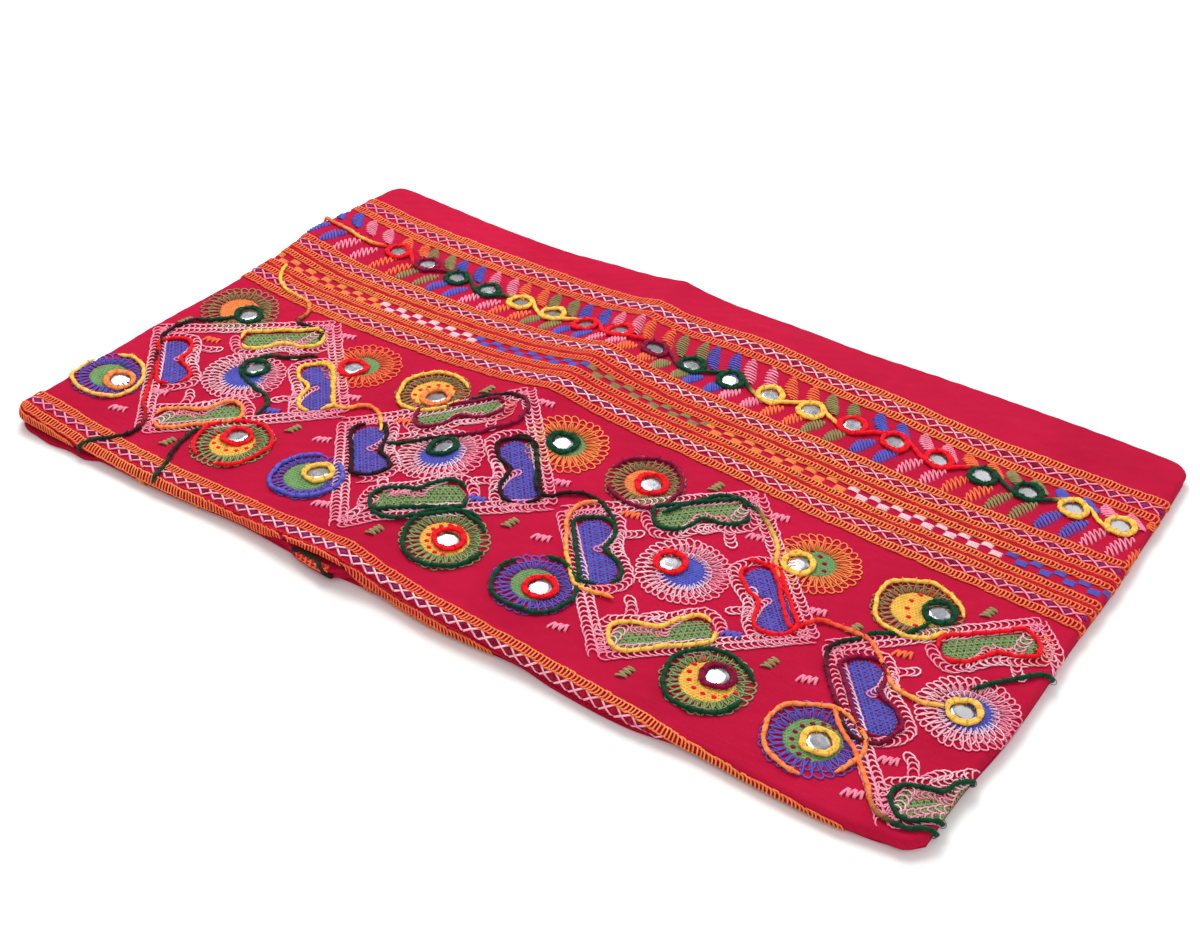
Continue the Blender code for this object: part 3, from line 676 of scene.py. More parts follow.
def smooth_route(points, spacing=0.1):
    """Route along a smooth curve through the points, in chart places that are evenly spaced."""
    points = np.asarray(points, float)
    marks = running(np.linalg.norm(np.diff(points, axis=0), axis=1))
    fine = np.linspace(0, marks[-1], max(16, int(marks[-1] / 0.02)))
    line = np.column_stack([through(marks, points[:, 0], fine), through(marks, points[:, 1], fine)])
    length = running(np.linalg.norm(np.diff(line, axis=0), axis=1))
    at = np.linspace(0, length[-1], max(4, int(length[-1] / spacing)))
    return as_route(np.interp(at, length, line[:, 0]), np.interp(at, length, line[:, 1]), at)


def beside(route, along, across):
    """Chart place at a length along a route and a distance to its left."""
    x, y = np.interp(along, route["at"], route["x"]), np.interp(along, route["at"], route["y"])
    run_x = np.interp(along, route["at"], route["run_x"])
    run_y = np.interp(along, route["at"], route["run_y"])
    return x - across * run_y, y + across * run_x


def loop_outline(count, squareness):
    """One open loop: an arc of a rounded oblong from -118 to 118 degrees, unit reach and width."""
    turn = np.radians(118) * np.linspace(-1, 1, count)
    run = np.sign(np.cos(turn)) * np.abs(np.cos(turn)) ** squareness
    side = np.sign(np.sin(turn)) * np.abs(np.sin(turn)) ** squareness
    return run, side, np.cos(turn)


def dyed(names, count, spread=0.10):
    """One colour for each of `count` stitches, each a little lighter or darker than its dye."""
    base = mixed(names, np.linspace(0, 1, count))
    return base * (1 + spread * rng.uniform(-1, 1, (count, 1)))


def chain_row(route, names, width, pitch, thread, squareness=1.0, reach=1.2):
    """Open chain stitch along a route: overlapping loops, each open at its start, whose round end
    lies over the next one."""
    count = max(2, int(route["at"][-1] / pitch))
    start = (np.arange(count) + 0.2) * pitch + rng.uniform(-0.10, 0.10, count) * pitch
    run, side, front = loop_outline(7, squareness)
    wide = width / 2 * (1 + 0.11 * rng.uniform(-1, 1, count))
    aside = 0.04 * width * rng.uniform(-1, 1, count)
    x, y = beside(route, start[:, None] + run * pitch * reach, wide[:, None] * side + aside[:, None])
    above = thread * (0.55 + 0.75 * (front + 0.5))
    return strands(x, y, above, thread, dyed(names, count))


def stitches(x0, y0, x1, y1, thread, colour, hump=1.3):
    """Straight stitches from (x0, y0) to (x1, y1): low arches whose ends sink into the cloth."""
    share = np.array([0.0, 0.12, 0.5, 0.88, 1.0])
    x = x0[:, None] * (1 - share) + x1[:, None] * share
    y = y0[:, None] * (1 - share) + y1[:, None] * share
    above = thread * np.array([-0.3, 0.7, hump, 0.7, -0.3])
    return strands(x, y, above, thread, colour)


def band_line(number, x):
    """Centre line of a lattice band."""
    return through(LATTICES[number]["x"], LATTICES[number]["y"], x)


def front_limit(x, share):
    """Chart y at which the cloth is a share of the way round the front roll."""
    edge = np.asarray(x) * CM
    shift = side_shift(edge, 0 * edge)[1]
    top = cloth_height(edge, shift + GRID_INSET)
    around = roll_sizes(edge, top, -np.ones_like(edge), 0.0, 0.0)[2]
    return (shift + GRID_INSET - share * around / FRONT_DRAPE) / CM


def band_route(number, offset, nearest):
    """Route along a lattice band, a fixed distance from its centre line. Where that would run
    under the front fold, it slides along the lip, but no nearer to the line than `nearest`."""
    x = np.arange(BAND_START - 0.1, BAND_END + 0.1, 0.1)
    line = band_line(number, x)
    y = np.maximum(line + offset, np.minimum(front_limit(x, LIP_SHARE), line + nearest))
    y = np.convolve(np.pad(y, 10, mode="edge"), np.ones(21) / 21, mode="valid")
    y = y + 0.03 * np.sin(x * 1.3 + 5 * offset)
    return as_route(x, y, running(np.hypot(np.diff(x), np.diff(y))))


def ladder_rows():
    """Orange open chain rows beside the lattices, and thin dark red lines between them."""
    parts = []
    for lattice, offset, nearest, width in rows(LADDER_ROWS):
        parts.append(chain_row(band_route(lattice, offset, nearest), LADDER_SHADES, width, LADDER_PITCH,
                               THREAD["ladder"], squareness=0.5, reach=1.15))
    for lattice, offset in rows(STEM_LINES):
        route = band_route(lattice, offset, offset)
        start = np.arange(0, route["at"][-1] - STEM_LENGTH, STEM_PITCH)
        x0, y0 = beside(route, start, -0.05)
        x1, y1 = beside(route, start + STEM_LENGTH, 0.05)
        parts.append(stitches(x0, y0, x1, y1, THREAD["stem"], dyed(("deep_red",), len(start)), 1.1))
    return parts


def lattice_bands():
    """Pink lattices: two zigzags that cross, with a filled diamond in each opening."""
    parts = []
    for number, height in enumerate(LATTICE_HEIGHT):
        x = np.arange(BAND_START, BAND_END, LATTICE_PITCH)
        level = band_line(number, x)
        sign = np.where(np.arange(len(x)) % 2 == 0, 1, -1)
        x = x + rng.uniform(-WAVER, WAVER, len(x))
        for way in (1, -1):
            y = level + way * sign * height / 2 + rng.uniform(-WAVER, WAVER, len(x))
            colour = dyed(("pink", "pale_pink", "pink"), len(x) - 1)
            hump = 1.2 + 0.6 * way
            parts.append(stitches(x[:-1], y[:-1], x[1:], y[1:], THREAD["lattice"], colour, hump))
        for offset in DIAMOND_STITCHES:
            tall = (0.27 - abs(offset)) * height
            parts.append(stitches(x + offset, level - tall, x + offset, level + tall, THREAD["diamond"],
                                  dyed(DIAMOND_SHADES, len(x), 0.3)))
    return parts


def brick_band():
    """Checker of satin bricks in two rows, each brick six threads side by side."""
    parts = []
    ends = BRICK_RUNS["start"][1:] + (BRICK_END,)
    for start, end, colour in zip(BRICK_RUNS["start"], ends, BRICK_RUNS["colour"]):
        for level, offset in zip(BRICK_LEVELS, (0.0, BRICK_PITCH / 2)):
            left = np.arange(start + offset, end - 0.3, BRICK_PITCH)
            bent = (band_line(1, left) - LATTICE_LEVEL) * BRICK_FOLLOW
            for thread in range(BRICK_THREADS):
                y = level + BRICK_THREAD_PITCH * (thread - (BRICK_THREADS - 1) / 2) + bent
                x = left + rng.uniform(-WAVER, WAVER, len(left))
                parts.append(stitches(x, y, x + BRICK_LENGTH, y, THREAD["brick"],
                                      dyed((colour,), len(left))))
    return parts


def leaf(root_x, root_y, foot, tip, wide, bars, colour):
    """Leaf of zigzag stitches: each runs aslant between the two sides of a pointed oval that bows
    a little, and a thinner one goes back from its end to the start of the next."""
    length = math.hypot(tip[0] - foot[0], tip[1] - foot[1])
    run_x, run_y = (tip[0] - foot[0]) / length, (tip[1] - foot[1]) / length
    share = np.linspace(0.03, 0.97, bars)
    half = wide * np.sin(math.pi * share ** 0.9) ** 0.4 * (1 + 0.08 * rng.uniform(-1, 1, bars))
    bow = 0.16 * np.sin(math.pi * share)
    slant = 0.42 * half
    x, y = root_x + foot[0] + run_x * length * share, root_y + foot[1] + run_y * length * share
    x0 = x - run_y * (bow + half) + run_x * slant
    y0 = y + run_x * (bow + half) + run_y * slant
    x1 = x - run_y * (bow - half) - run_x * slant
    y1 = y + run_x * (bow - half) - run_y * slant
    forth = stitches(x0, y0, x1, y1, THREAD["leaf"], dyed((colour,), bars, 0.14), 1.5)
    back = stitches(x1[:-1], y1[:-1], x0[1:], y0[1:], THREAD["leaf_return"],
                    dyed((colour,), bars - 1, 0.14), 0.9)
    return [forth, back]


def leaves():
    """Leaf border: twin leaves above and below the row of mirrors, out to the ladder rows."""
    parts = []
    for pair, middle in enumerate(LEAF_PAIRS):
        colour = LEAF_COLOURS[(pair + FIRST_LEAF_COLOUR) % len(LEAF_COLOURS)]
        bars = 11 if colour in ("blue", "olive") else 9
        line = through(ROW_LINE["x"], ROW_LINE["y"], middle)
        top = band_line(0, middle) - line - UPPER_LEAF_GAP
        base = band_line(1, middle) - line + LOWER_LEAF_GAP
        for root in (middle - TWIN_LEAF, middle + TWIN_LEAF):
            parts += leaf(root, line, (0.66, 0.55), (-0.62, top), 0.52, bars, colour)
            parts += leaf(root, line, (-0.42, base), (0.56, -0.75), 0.58, bars - 2, colour)
    return parts


def ray_loops(cx, cy, inner, outer, count, names, thread, lean=0.0):
    """Long loops on a circle that cross their neighbours: the radius follows a cosine from the
    inner circle out and back, while the angle runs from one foot to the other."""
    share = np.linspace(-1, 1, 9)
    turn = 2 * math.pi * (np.arange(count) + rng.uniform(-0.1, 0.1, count)) / count
    spread = 1.35 * math.pi / count
    angle = turn[:, None] + spread * np.sin(share * math.pi / 2) + lean * (1 - share ** 2)
    far = outer * (1 + 0.03 * rng.uniform(-1, 1, count))
    reach = inner + (far[:, None] - inner) * np.cos(share * math.pi / 2) ** 0.55
    x, y = cx + reach * np.cos(angle), cy + reach * np.sin(angle)
    above = thread * (0.3 + 1.5 * (share + 1) / 2)
    return strands(x, y, above, thread, dyed(names, count))


def small_loops(x, y, turn, size, name, thread):
    """Fill of small open loops at given chart places, each turned its own way."""
    run, side, _ = loop_outline(6, 0.7)
    c, s = np.cos(turn)[:, None], np.sin(turn)[:, None]
    loop_x = x[:, None] + size * (run * c - side * s * 0.9)
    loop_y = y[:, None] + size * (run * s + side * c * 0.9)
    return strands(loop_x, loop_y, thread, thread, dyed((name,), len(x), 0.14))


def staggered(across, up, step_x, step_y):
    """Places of a grid round its middle, every second row moved on by half a step."""
    x, y = np.meshgrid(np.arange(-across, across + 1) * step_x, np.arange(-up, up + 1) * step_y)
    x = x + step_x / 2 * (np.arange(len(x)) % 2)[:, None]
    return x.ravel(), y.ravel()


def knots(x, y, name, size):
    """Round knots: short strands whose thickness follows half a circle along their length."""
    share = np.array([-1.0, -0.75, 0.0, 0.75, 1.0])
    radius = size / 2 * CM * np.sqrt(np.maximum(1 - share * share, 0.08))
    return strands(x[:, None] + size / 2 * share, y[:, None] + 0 * share, 0.00055, radius,
                   dyed((name,), len(x)), sides=6, flat=0.45)


def patch(outline_x, outline_y, cx, cy, name):
    """Thin base of close thread under a fill: rings from the outline in to its middle. Its colour is the
    fill's dye darkened, as painted shade under the loops.
    """
    share = np.array([1.0, 0.93, 0.5, 0.0])
    x = cx + (outline_x[:, None] - cx) * share
    y = cy + (outline_y[:, None] - cy) * share
    place, way, _ = lay(x, y)
    place = place + way * (PATCH_HEIGHT * np.array([-0.2, 1.0, 1.0, 1.0]))[None, :, None]
    count, rings = x.shape
    index = np.arange(count * rings).reshape(count, rings)
    near, far = index[:, :-1], np.roll(index, -1, axis=0)[:, :-1]
    near_in, far_in = index[:, 1:], np.roll(index, -1, axis=0)[:, 1:]
    walls = np.stack([near, far, far_in, near_in], axis=-1).reshape(-1, 4)
    return {
        "points": place.reshape(-1, 3), "corners": walls.ravel(),
        "sizes": np.full(len(walls), 4), "uv": np.zeros((walls.size, 2)),
        # Painted shade: the fill's dye at three quarters, for the base that lies under the loops
        "dye": np.broadcast_to(shade(name) * 0.75, (count * rings, 3)),
    }


def circle_route(cx, cy, radius, start, turns, wobble=0.03, grow=0.0):
    """Route round a circle that is a little out of true, and wider by the share `grow` at its
    end than at its start."""
    share = np.linspace(0, 1, int(60 * turns) + 8)
    turn = start + 2 * math.pi * turns * share
    reach = radius * (1 + grow * share + wobble * np.sin(3 * turn + start) + 0.02 * np.sin(5 * turn))
    return np.column_stack([cx + reach * np.cos(turn), cy + reach * np.sin(turn)])


def disc_patch(cx, cy, radius, name):
    """Round base of thread."""
    turn = 2 * math.pi * np.arange(36) / 36
    return patch(cx + radius * np.cos(turn), cy + radius * np.sin(turn), cx, cy, name)


def rounds():
    """Rounds: long crossing loops outside, and a crescent of small loops and knots inside."""
    loops, fills = [], []
    for cx, cy, fill, radius, mx, my, rays, _, crescent, dots, _ in rows(ROUNDS):
        inner = fill * radius
        near, short = inner * 0.98, radius * 0.80
        loops.append(ray_loops(cx, cy, inner, radius, 30, (rays,), THREAD["ray"], 0.12))
        loops.append(ray_loops(cx, cy, near, short, 28, (rays,), THREAD["inner_ray"], -0.10))
        fills.append(disc_patch(cx, cy, inner, crescent))
        x, y = staggered(*ROUND_GRID)
        x, y = cx + x, cy + y
        inside = (np.hypot(x - cx, y - cy) < inner - FILL_MARGIN) & (np.hypot(x - mx, y - my) > 1.0)
        x, y = x[inside], y[inside]
        around = np.arctan2(y - my, x - mx) + math.pi / 2
        fills.append(small_loops(x, y, around, LOOP_SIZE["round"], crescent, THREAD["round_loop"]))
        if dots:
            spin = np.arange(9) * 0.42 + math.atan2(cy - my, cx - mx) - 1.68
            reach = 0.5 * (inner + np.hypot(cx - mx, cy - my) + 1.0)
            fills.append(knots(mx + reach * np.cos(spin), my + reach * np.sin(spin), dots, 0.36))
    return loops, fills


def bean_frame(number):
    """Middle, long direction and inward direction of a bean."""
    turn = math.radians(BEANS["turn"][number])
    middle = np.array([BEANS["x"][number], BEANS["y"][number]])
    run = np.array([math.cos(turn), math.sin(turn)])
    inward = np.array([-run[1], run[0]])
    to_middle = np.array(SQUARES[BEANS["square"][number]]["middle"]) - middle
    if inward @ to_middle < 0:
        inward = -inward
    return middle, run, inward


def bean_side(number, along):
    """Half width of a bean at a place along it: round ends, and a notch on its inner side."""
    half, wide = BEANS["length"][number] / 2, BEANS["width"][number] / 2
    past = np.maximum(np.abs(along) - (half - wide), 0)
    outer = np.sqrt(np.maximum(wide * wide - past * past, 0))
    return outer, outer * (1 - NOTCH_DEPTH * np.exp(-(along / NOTCH_WIDTH) ** 2))


def bean_outline(number, extra, first, last, notched=0.0, count=60):
    """Route round a bean, `extra` outside it, from one share of the way round to another. The
    way starts at one end of the bean and goes along its inner side first, into the notch by the
    share `notched`."""
    middle, run, inward = bean_frame(number)
    half, wide = BEANS["length"][number] / 2 + extra, BEANS["width"][number] / 2 + extra
    turn = 2 * math.pi * np.linspace(first, last, count)
    along = (half - wide) * np.clip(1.6 * np.cos(turn), -1, 1) + wide * np.cos(turn)
    across = wide * np.clip(1.25 * np.sin(turn), -1, 1)
    dip = NOTCH_DEPTH * notched * np.exp(-(along / (NOTCH_WIDTH + extra)) ** 2)
    across = np.where(across > 0, across * (1 - dip), across)
    return middle + along[:, None] * run + across[:, None] * inward


def on_bean(number, along, inwards):
    """Chart place at a distance along a bean and a distance in towards the square's middle."""
    middle, run, inward = bean_frame(number)
    x = middle[0] + along * run[0] + inwards * inward[0]
    y = middle[1] + along * run[1] + inwards * inward[1]
    return x, y


def pink_row(points, names, width, pitch=SPRIG_PITCH, thread=THREAD["sprig"]):
    """Chain row along a smooth curve through a few points."""
    return chain_row(smooth_route(points), names, width, pitch, thread)


def square_frame(corners):
    """Chain rows along the four sides of a tilted square."""
    parts = []
    for first, second in zip(corners, corners[1:] + corners[:1]):
        way = unit(second - first)
        inside = np.array([way[1], -way[0]])
        for aside, width in rows(FRAME_ROWS):
            start, end = first + aside * inside, second + aside * inside
            parts.append(pink_row([start - 0.2 * way, (start + end) / 2, end + 0.2 * way],
                                  ("pink", "pale_pink", "pink"), width, FRAME_PITCH, THREAD["frame"]))
    return parts


def corner_sprigs(corners, middle):
    """Two curled chain rows in each corner, and a stem in the upper and the lower one."""
    parts = []
    for corner in corners:
        way = unit(corner - middle)
        side = np.array([-way[1], way[0]])
        for sign in (1, -1):
            curl = [corner - back * way + aside * sign * side
                    for back, aside in ((4.2, 0.3), (5.1, 0.8), (5.8, 1.7))]
            parts.append(pink_row(curl, ("pink", "pale_pink"), 0.74))
        if abs(way[1]) > 0.5:
            stem = [corner - back * way for back in (0.9, 2.3, 3.7)]
            parts.append(pink_row(stem, ("pale_pink", "pink"), 0.80))
    return parts


def medallion_fill(square):
    """Blue disc in a square's middle, with small loops on it clear of the mirror."""
    cx, cy = square["middle"]
    mx, my = square["mirror"]
    x, y = staggered(*MEDALLION_GRID)
    x, y = cx + x, cy + y
    inside = (np.hypot(x - cx, y - cy) < 1.5) & (np.hypot(x - mx, y - my) > 0.9)
    x, y = x[inside], y[inside]
    around = np.arctan2(y - cy, x - cx) + FULL_TURN / 4
    return [disc_patch(cx, cy, MEDALLION_DISC, "blue"),
            small_loops(x, y, around, LOOP_SIZE["medallion"], "blue", THREAD["round_loop"])]


def bean_fill(number, name):
    """Fill of a bean: rows of small loops over a thin base, and rows of dark knots."""
    middle, run, inward = bean_frame(number)
    half = BEANS["length"][number] / 2
    along, inwards = staggered(*BEAN_GRID)
    outer, inner = bean_side(number, along)
    inside = (np.abs(along) < half) & (inwards < inner - FILL_MARGIN) & (inwards > -outer + FILL_MARGIN)
    x, y = on_bean(number, along[inside], inwards[inside])
    turn = np.full(len(x), math.atan2(run[1], run[0]))
    parts = [small_loops(x, y, turn, LOOP_SIZE["bean"], name, THREAD["bean_loop"])]
    edge = np.linspace(-half, half, 30)
    outer, inner = bean_side(number, edge)
    x, y = on_bean(number, np.concatenate([edge, edge[::-1]]), np.concatenate([-outer, inner[::-1]]))
    clockwise = run[0] * inward[1] - run[1] * inward[0] < 0
    if clockwise:
        x, y = x[::-1], y[::-1]
    parts.append(patch(x, y, middle[0], middle[1], name))
    for line, row in enumerate(BEAN_KNOT_ROWS):
        dot = np.arange(-8, 9) * 0.43 + 0.21 * (line % 2)
        outer, inner = bean_side(number, dot)
        dot = dot[(row < inner - 0.14) & (row > -outer + 0.14) & (np.abs(dot) < half - 0.2)]
        x, y = on_bean(number, dot, row)
        parts.append(knots(x, y, "maroon", 0.20))
    return parts


def bean_rows(number, name):
    """Chain rows of a bean: one most of the way round it, one that hooks into its notch, and an
    arm from the hook's end where the bean is green."""
    middle, run, inward = bean_frame(number)
    wide = BEANS["width"][number] / 2
    onward = run if inward @ np.array([1.0, 0.4]) > 0 else -run
    parts = [pink_row(bean_outline(number, 0.68, -0.07, 0.57, 0.25),
                      (BEANS["chain"][number], "pale_pink", "pink"), 0.80)]
    foot = middle - 0.15 * inward
    hook = [middle + (wide + 0.55) * inward - 2.2 * onward,
            middle + (wide + 0.05) * inward - 1.2 * onward,
            middle + 0.55 * wide * inward - 0.5 * onward, foot]
    parts.append(pink_row(hook, ("pale_pink", "pink"), 0.60, HOOK_PITCH))
    if name == "green":
        arm = [foot, middle + 0.45 * wide * inward + 0.7 * onward,
               middle + 0.55 * wide * inward + 1.9 * onward]
        parts.append(pink_row(arm, ("pink",), 0.52, HOOK_PITCH, THREAD["frame"]))
    return parts


def squares():
    """Tilted squares, in three lists: chain rows, fills, and the crossing loops of the middles."""
    frames, fills, rays = [], [], []
    for square in SQUARES:
        corners = [np.array(square[key]) for key in ("top", "right", "bottom", "left")]
        frames += square_frame(corners)
        frames += corner_sprigs(corners, np.array(square["middle"]))
        for inner, outer, count, names, thread, lean in rows(MEDALLION_RAYS):
            rays.append(ray_loops(*square["middle"], inner, outer, count, names, thread, lean))
        fills += medallion_fill(square)
    for number, name in enumerate(BEANS["fill"]):
        fills += bean_fill(number, name)
        frames += bean_rows(number, name)
    return frames, fills, rays


def zigzag_marks():
    """Small marks: a zigzag of six strokes that climbs to the right, or stands up where it is
    olive."""
    parts = []
    share = np.linspace(-1, 1, 7)
    side = np.where(np.arange(7) % 2 == 0, -1.0, 1.0)
    for name, places in ZIGZAGS.items():
        for cx, cy in places:
            run, climb, wide, tall = STANDING_MARK if name == "olive" else LYING_MARK
            x = cx + run * share + side * wide
            y = cy + climb * share + side * tall
            parts.append(stitches(x[:-1], y[:-1], x[1:], y[1:], THREAD["zigzag"], dyed((name,), 6), 1.2))
    return parts


def cord(points, names):
    """Couched cord: two plies twisted together, along a smooth route, with tiny side waver. It
    ends where its route leaves the shown part of the roll."""
    route = smooth_route(points, 0.135)
    waver = 0.045 * np.sin(route["at"] * 2.9 + rng.uniform(0, 6)) * np.sin(route["at"] * 1.1)
    x, y = beside(route, route["at"], waver)
    shown = lay(x, y)[2] < CORD_TURN
    at, x, y = route["at"][shown], x[shown], y[shown]
    colour = mixed(names, at / route["at"][-1])
    colour = colour * (1 + 0.10 * np.sin(at * 5.3) * np.sin(at * 1.7 + 1))[:, None]
    height = CORD_HEIGHT + 0.0004 * np.sin(at * 2.1)
    taper = np.minimum(1, 0.45 + 1.2 * np.minimum(at - at[0], at[-1] - at))
    thick = CORD_RADIUS * taper * (1 + 0.09 * np.sin(at * 3.7 + 2) * np.sin(at * 1.3))
    return strands(x[None], y[None], height[None], thick[None], colour[None], sides=8,
                   flat=0.85, lobes=0.18, twist=CORD_TWIST)


def couching(points, names):
    """Small stitches that hold a cord down, one every 9 mm."""
    route = smooth_route(points, 0.12)
    at = np.arange(0.5, route["at"][-1] - 0.3, COUCHING_PITCH)
    share = np.linspace(-1, 1, 7)
    x, y = beside(route, at[:, None] + 0.05 * share, 0.25 * share * np.ones((len(at), 1)))
    above = 0.0008 + 0.0036 * np.cos(share * math.pi / 2) ** 0.7
    colour = mixed(names, at / route["at"][-1]) * 0.8
    return strands(x, y, above, THREAD["couching"], colour)


def mirror_ring(x, y, radius=0.90, grow=0.28, low=0.0, high=FULL_TURN):
    """Route of nearly two turns round a mirror, the second one wider, from a random start angle
    between low and high."""
    return circle_route(x, y, radius, rng.uniform(low, high), 1.95, 0.03, grow)[::4]


def cords():
    """All couched cords: the free routes, bean outlines, round outlines and mirror rings."""
    lines = [(item["route"], item["colours"]) for item in CORDS]
    for number, name in enumerate(BEANS["cord"]):
        first, last = (0.06, 1.0) if number % 3 else (0.52, 1.46)
        lines.append((bean_outline(number, 0.20, first, last, 0.6)[::3], (name,)))
    for cx, cy, _, radius, mx, my, _, outline, _, _, ring in rows(ROUNDS):
        if outline:
            start = rng.uniform(0, FULL_TURN)
            lines.append((circle_route(cx, cy, radius * 0.93, start, 0.92)[::5], (outline,)))
        lines.append((mirror_ring(mx, my), (ring,)))
    for square in SQUARES:
        lines.append((mirror_ring(*square["mirror"]), (square["ring"],)))
    parts = []
    for points, names in lines:
        parts += [cord(points, names), couching(points, names)]
    return parts


def mirror_row():
    """Chart places of the mirrors in the leaf border."""
    x = ROW_START + ROW_PITCH * np.arange(len(ROW_RINGS))
    return x, through(ROW_LINE["x"], ROW_LINE["y"], x)


def on_fold(x, share):
    """Place on the second fold's front, at a plan x in metres and a share of its height. Past the
    whole height it goes back over the fold's top."""
    u = x - GRID_INSET - side_shift(x, 0 * x)[0]
    edge_x, edge_y = edge_shape(u, 0 * u)[:2]
    show = eased(MIDDLE_SHOW["x"], MIDDLE_SHOW["reach"], edge_x)
    tall = PAIR_HEIGHT + UNDER_LIFT * lift(edge_x, edge_y)
    level = PAIR_HEIGHT + SEAM_GAP + tall * np.minimum(share, 1)
    out = LAYER_REACH + show - 0.0003 - 0.0064 * np.maximum(share - 1, 0)
    return np.stack([edge_x - PACKET_MIDDLE[0], edge_y - out - PACKET_MIDDLE[1], level], -1)


def fold_strands(place, height, radius, colour, **shape):
    """Strands on the second fold's front, raised towards the way that it faces."""
    place = place + FOLD_FACING * height
    return tubes(place, np.broadcast_to(FOLD_FACING, place.shape), radius, colour, **shape)


def fold_round():
    """Part of an orange round on the second fold: short upright stitches and dark knots on its
    edge, and a dark cord beside them."""
    parts = []
    for row, low in enumerate(FOLD_ROUND_ROWS):
        x = np.linspace(*FOLD_ROUND_X, 22) + 0.0007 * (row % 2)
        share = low + 0.24 * np.linspace(0, 1, 5)
        place = on_fold(np.repeat(x[:, None], 5, 1), np.repeat(share[None], 22, 0))
        arch = 0.0007 * np.array([0, 1, 1.4, 1, 0])[None, :, None]
        parts.append(fold_strands(place, arch, THREAD["fold_round"],
                                  dyed(("orange", "amber", "orange"), 22)[:, None]))
    for share in FOLD_ROUND_KNOTS:
        x = np.linspace(0.2875, 0.3115, 6)[:, None] + 0.0015 * np.linspace(-1, 1, 5)
        radius = 0.0015 * np.sqrt(np.array([0.1, 0.6, 1.0, 0.6, 0.1]))
        parts.append(fold_strands(on_fold(x, np.full(x.shape, share)), 0.0014, radius,
                                  dyed(("deep_red",), 6)[:, None], sides=6, flat=0.5))
    bow = np.linspace(0, 1, 40)
    share = 1.10 + 0.50 * np.sin(math.pi * np.minimum(bow * 1.2, 1)) - 0.9 * smooth_step(0.6, 1.0, bow)
    parts.append(fold_strands(on_fold(0.2800 + 0.0385 * bow, share)[None], 0.0015, 0.0017,
                              mixed(("brown_black", "dark_green", "brown_black"), bow)[None], sides=8,
                              lobes=0.15, twist=CORD_TWIST))
    return parts


def border_cords():
    """Cord that rings each mirror of the leaf border and swings on to the next one."""
    parts = []
    row_x, row_y = mirror_row()
    for number, name in enumerate(ROW_RINGS):
        x0, y0 = row_x[number], row_y[number]
        ring = mirror_ring(x0, y0, 0.82, 0.34, 2.4, 3.6)
        parts += [cord(ring, (name,)), couching(ring, (name,))]
        if number + 1 < len(ROW_RINGS):
            x1, y1 = row_x[number + 1], row_y[number + 1]
            swing = 0.75 if number % 2 else -0.75
            link = ((x0 + 0.45, y0 - 1.1 * swing), (x0 + 1.15, y0 - 0.55 * swing),
                    (x0 + 1.75, (y0 + y1) / 2 + 0.1 * swing), (x1 - 1.1, y1 + 0.65 * swing),
                    (x1 - 0.4, y1 + 1.15 * swing))
            parts.append(cord(link, (name, name, ROW_RINGS[number + 1])))
    return parts


def mirror_places():
    """Chart places of all mirrors, in the order of their nodes."""
    row_x, row_y = mirror_row()
    x = np.concatenate([row_x, [s["mirror"][0] for s in SQUARES], ROUNDS["mirror_x"]])
    y = np.concatenate([row_y, [s["mirror"][1] for s in SQUARES], ROUNDS["mirror_y"]])
    return x, y


def mirror_discs():
    """Hand cut glass: a disc whose radius wavers with the angle, in rings from its under rim over
    a small bevel to its middle, tilted a little at random."""
    x, y = mirror_places()
    place, way, _ = lay(x[:, None], y[:, None])
    place = place[:, 0]
    way = unit(way[:, 0] + MIRROR_TILT * rng.uniform(-1, 1, (len(x), 3)))
    run = unit(np.cross(np.array([0.0, 1.0, 0.0]), way))
    side = np.cross(way, run)
    count = 28
    turn = 2 * math.pi * np.arange(count) / count
    phase = rng.uniform(0, FULL_TURN, (len(x), 2))
    waver = 1 + 0.035 * np.cos(4 * turn + phase[:, :1]) + 0.02 * np.cos(7 * turn + phase[:, 1:])
    size = MIRROR_RADIUS * CM * (1 + 0.04 * rng.uniform(-1, 1, (len(x), 1)))
    points = []
    for reach, level in rows(MIRROR_PROFILE):
        out = (size * waver * reach)[..., None]
        points.append(place[:, None] + way[:, None] * level
                      + out * (np.cos(turn)[None, :, None] * run[:, None]
                               + np.sin(turn)[None, :, None] * side[:, None]))
    points = np.stack(points, axis=1)
    index = np.arange(points[..., 0].size).reshape(points.shape[:3])
    low, high = index[:, :-1], index[:, 1:]
    walls = np.stack([low, np.roll(low, -1, 2), np.roll(high, -1, 2), high], axis=-1).reshape(-1, 4)
    return points.reshape(-1, 3), walls


def new_piece(name, points, corners, sizes, material):
    """Mesh object from whole arrays, at the origin and unturned, with its finish and its body."""
    mesh = bpy.data.meshes.new(name)
    mesh.vertices.add(len(points))
    mesh.vertices.foreach_set("co", np.asarray(points, np.float32).ravel())
    mesh.loops.add(len(corners))
    mesh.loops.foreach_set("vertex_index", np.asarray(corners, np.int32))
    mesh.polygons.add(len(sizes))
    mesh.polygons.foreach_set("loop_start", running(sizes[:-1]).astype(np.int32))
    mesh.update(calc_edges=True)
    mesh.shade_smooth()
    mesh.materials.append(material)
    piece = bpy.data.objects.new(name, mesh)
    bpy.context.collection.objects.link(piece)
    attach(piece, "root")
    return piece


def quad_piece(name, points, walls, material, slot):
    """Piece whose faces all have four corners."""
    return new_piece(name, points, walls.ravel(), np.full(len(walls), 4), material)


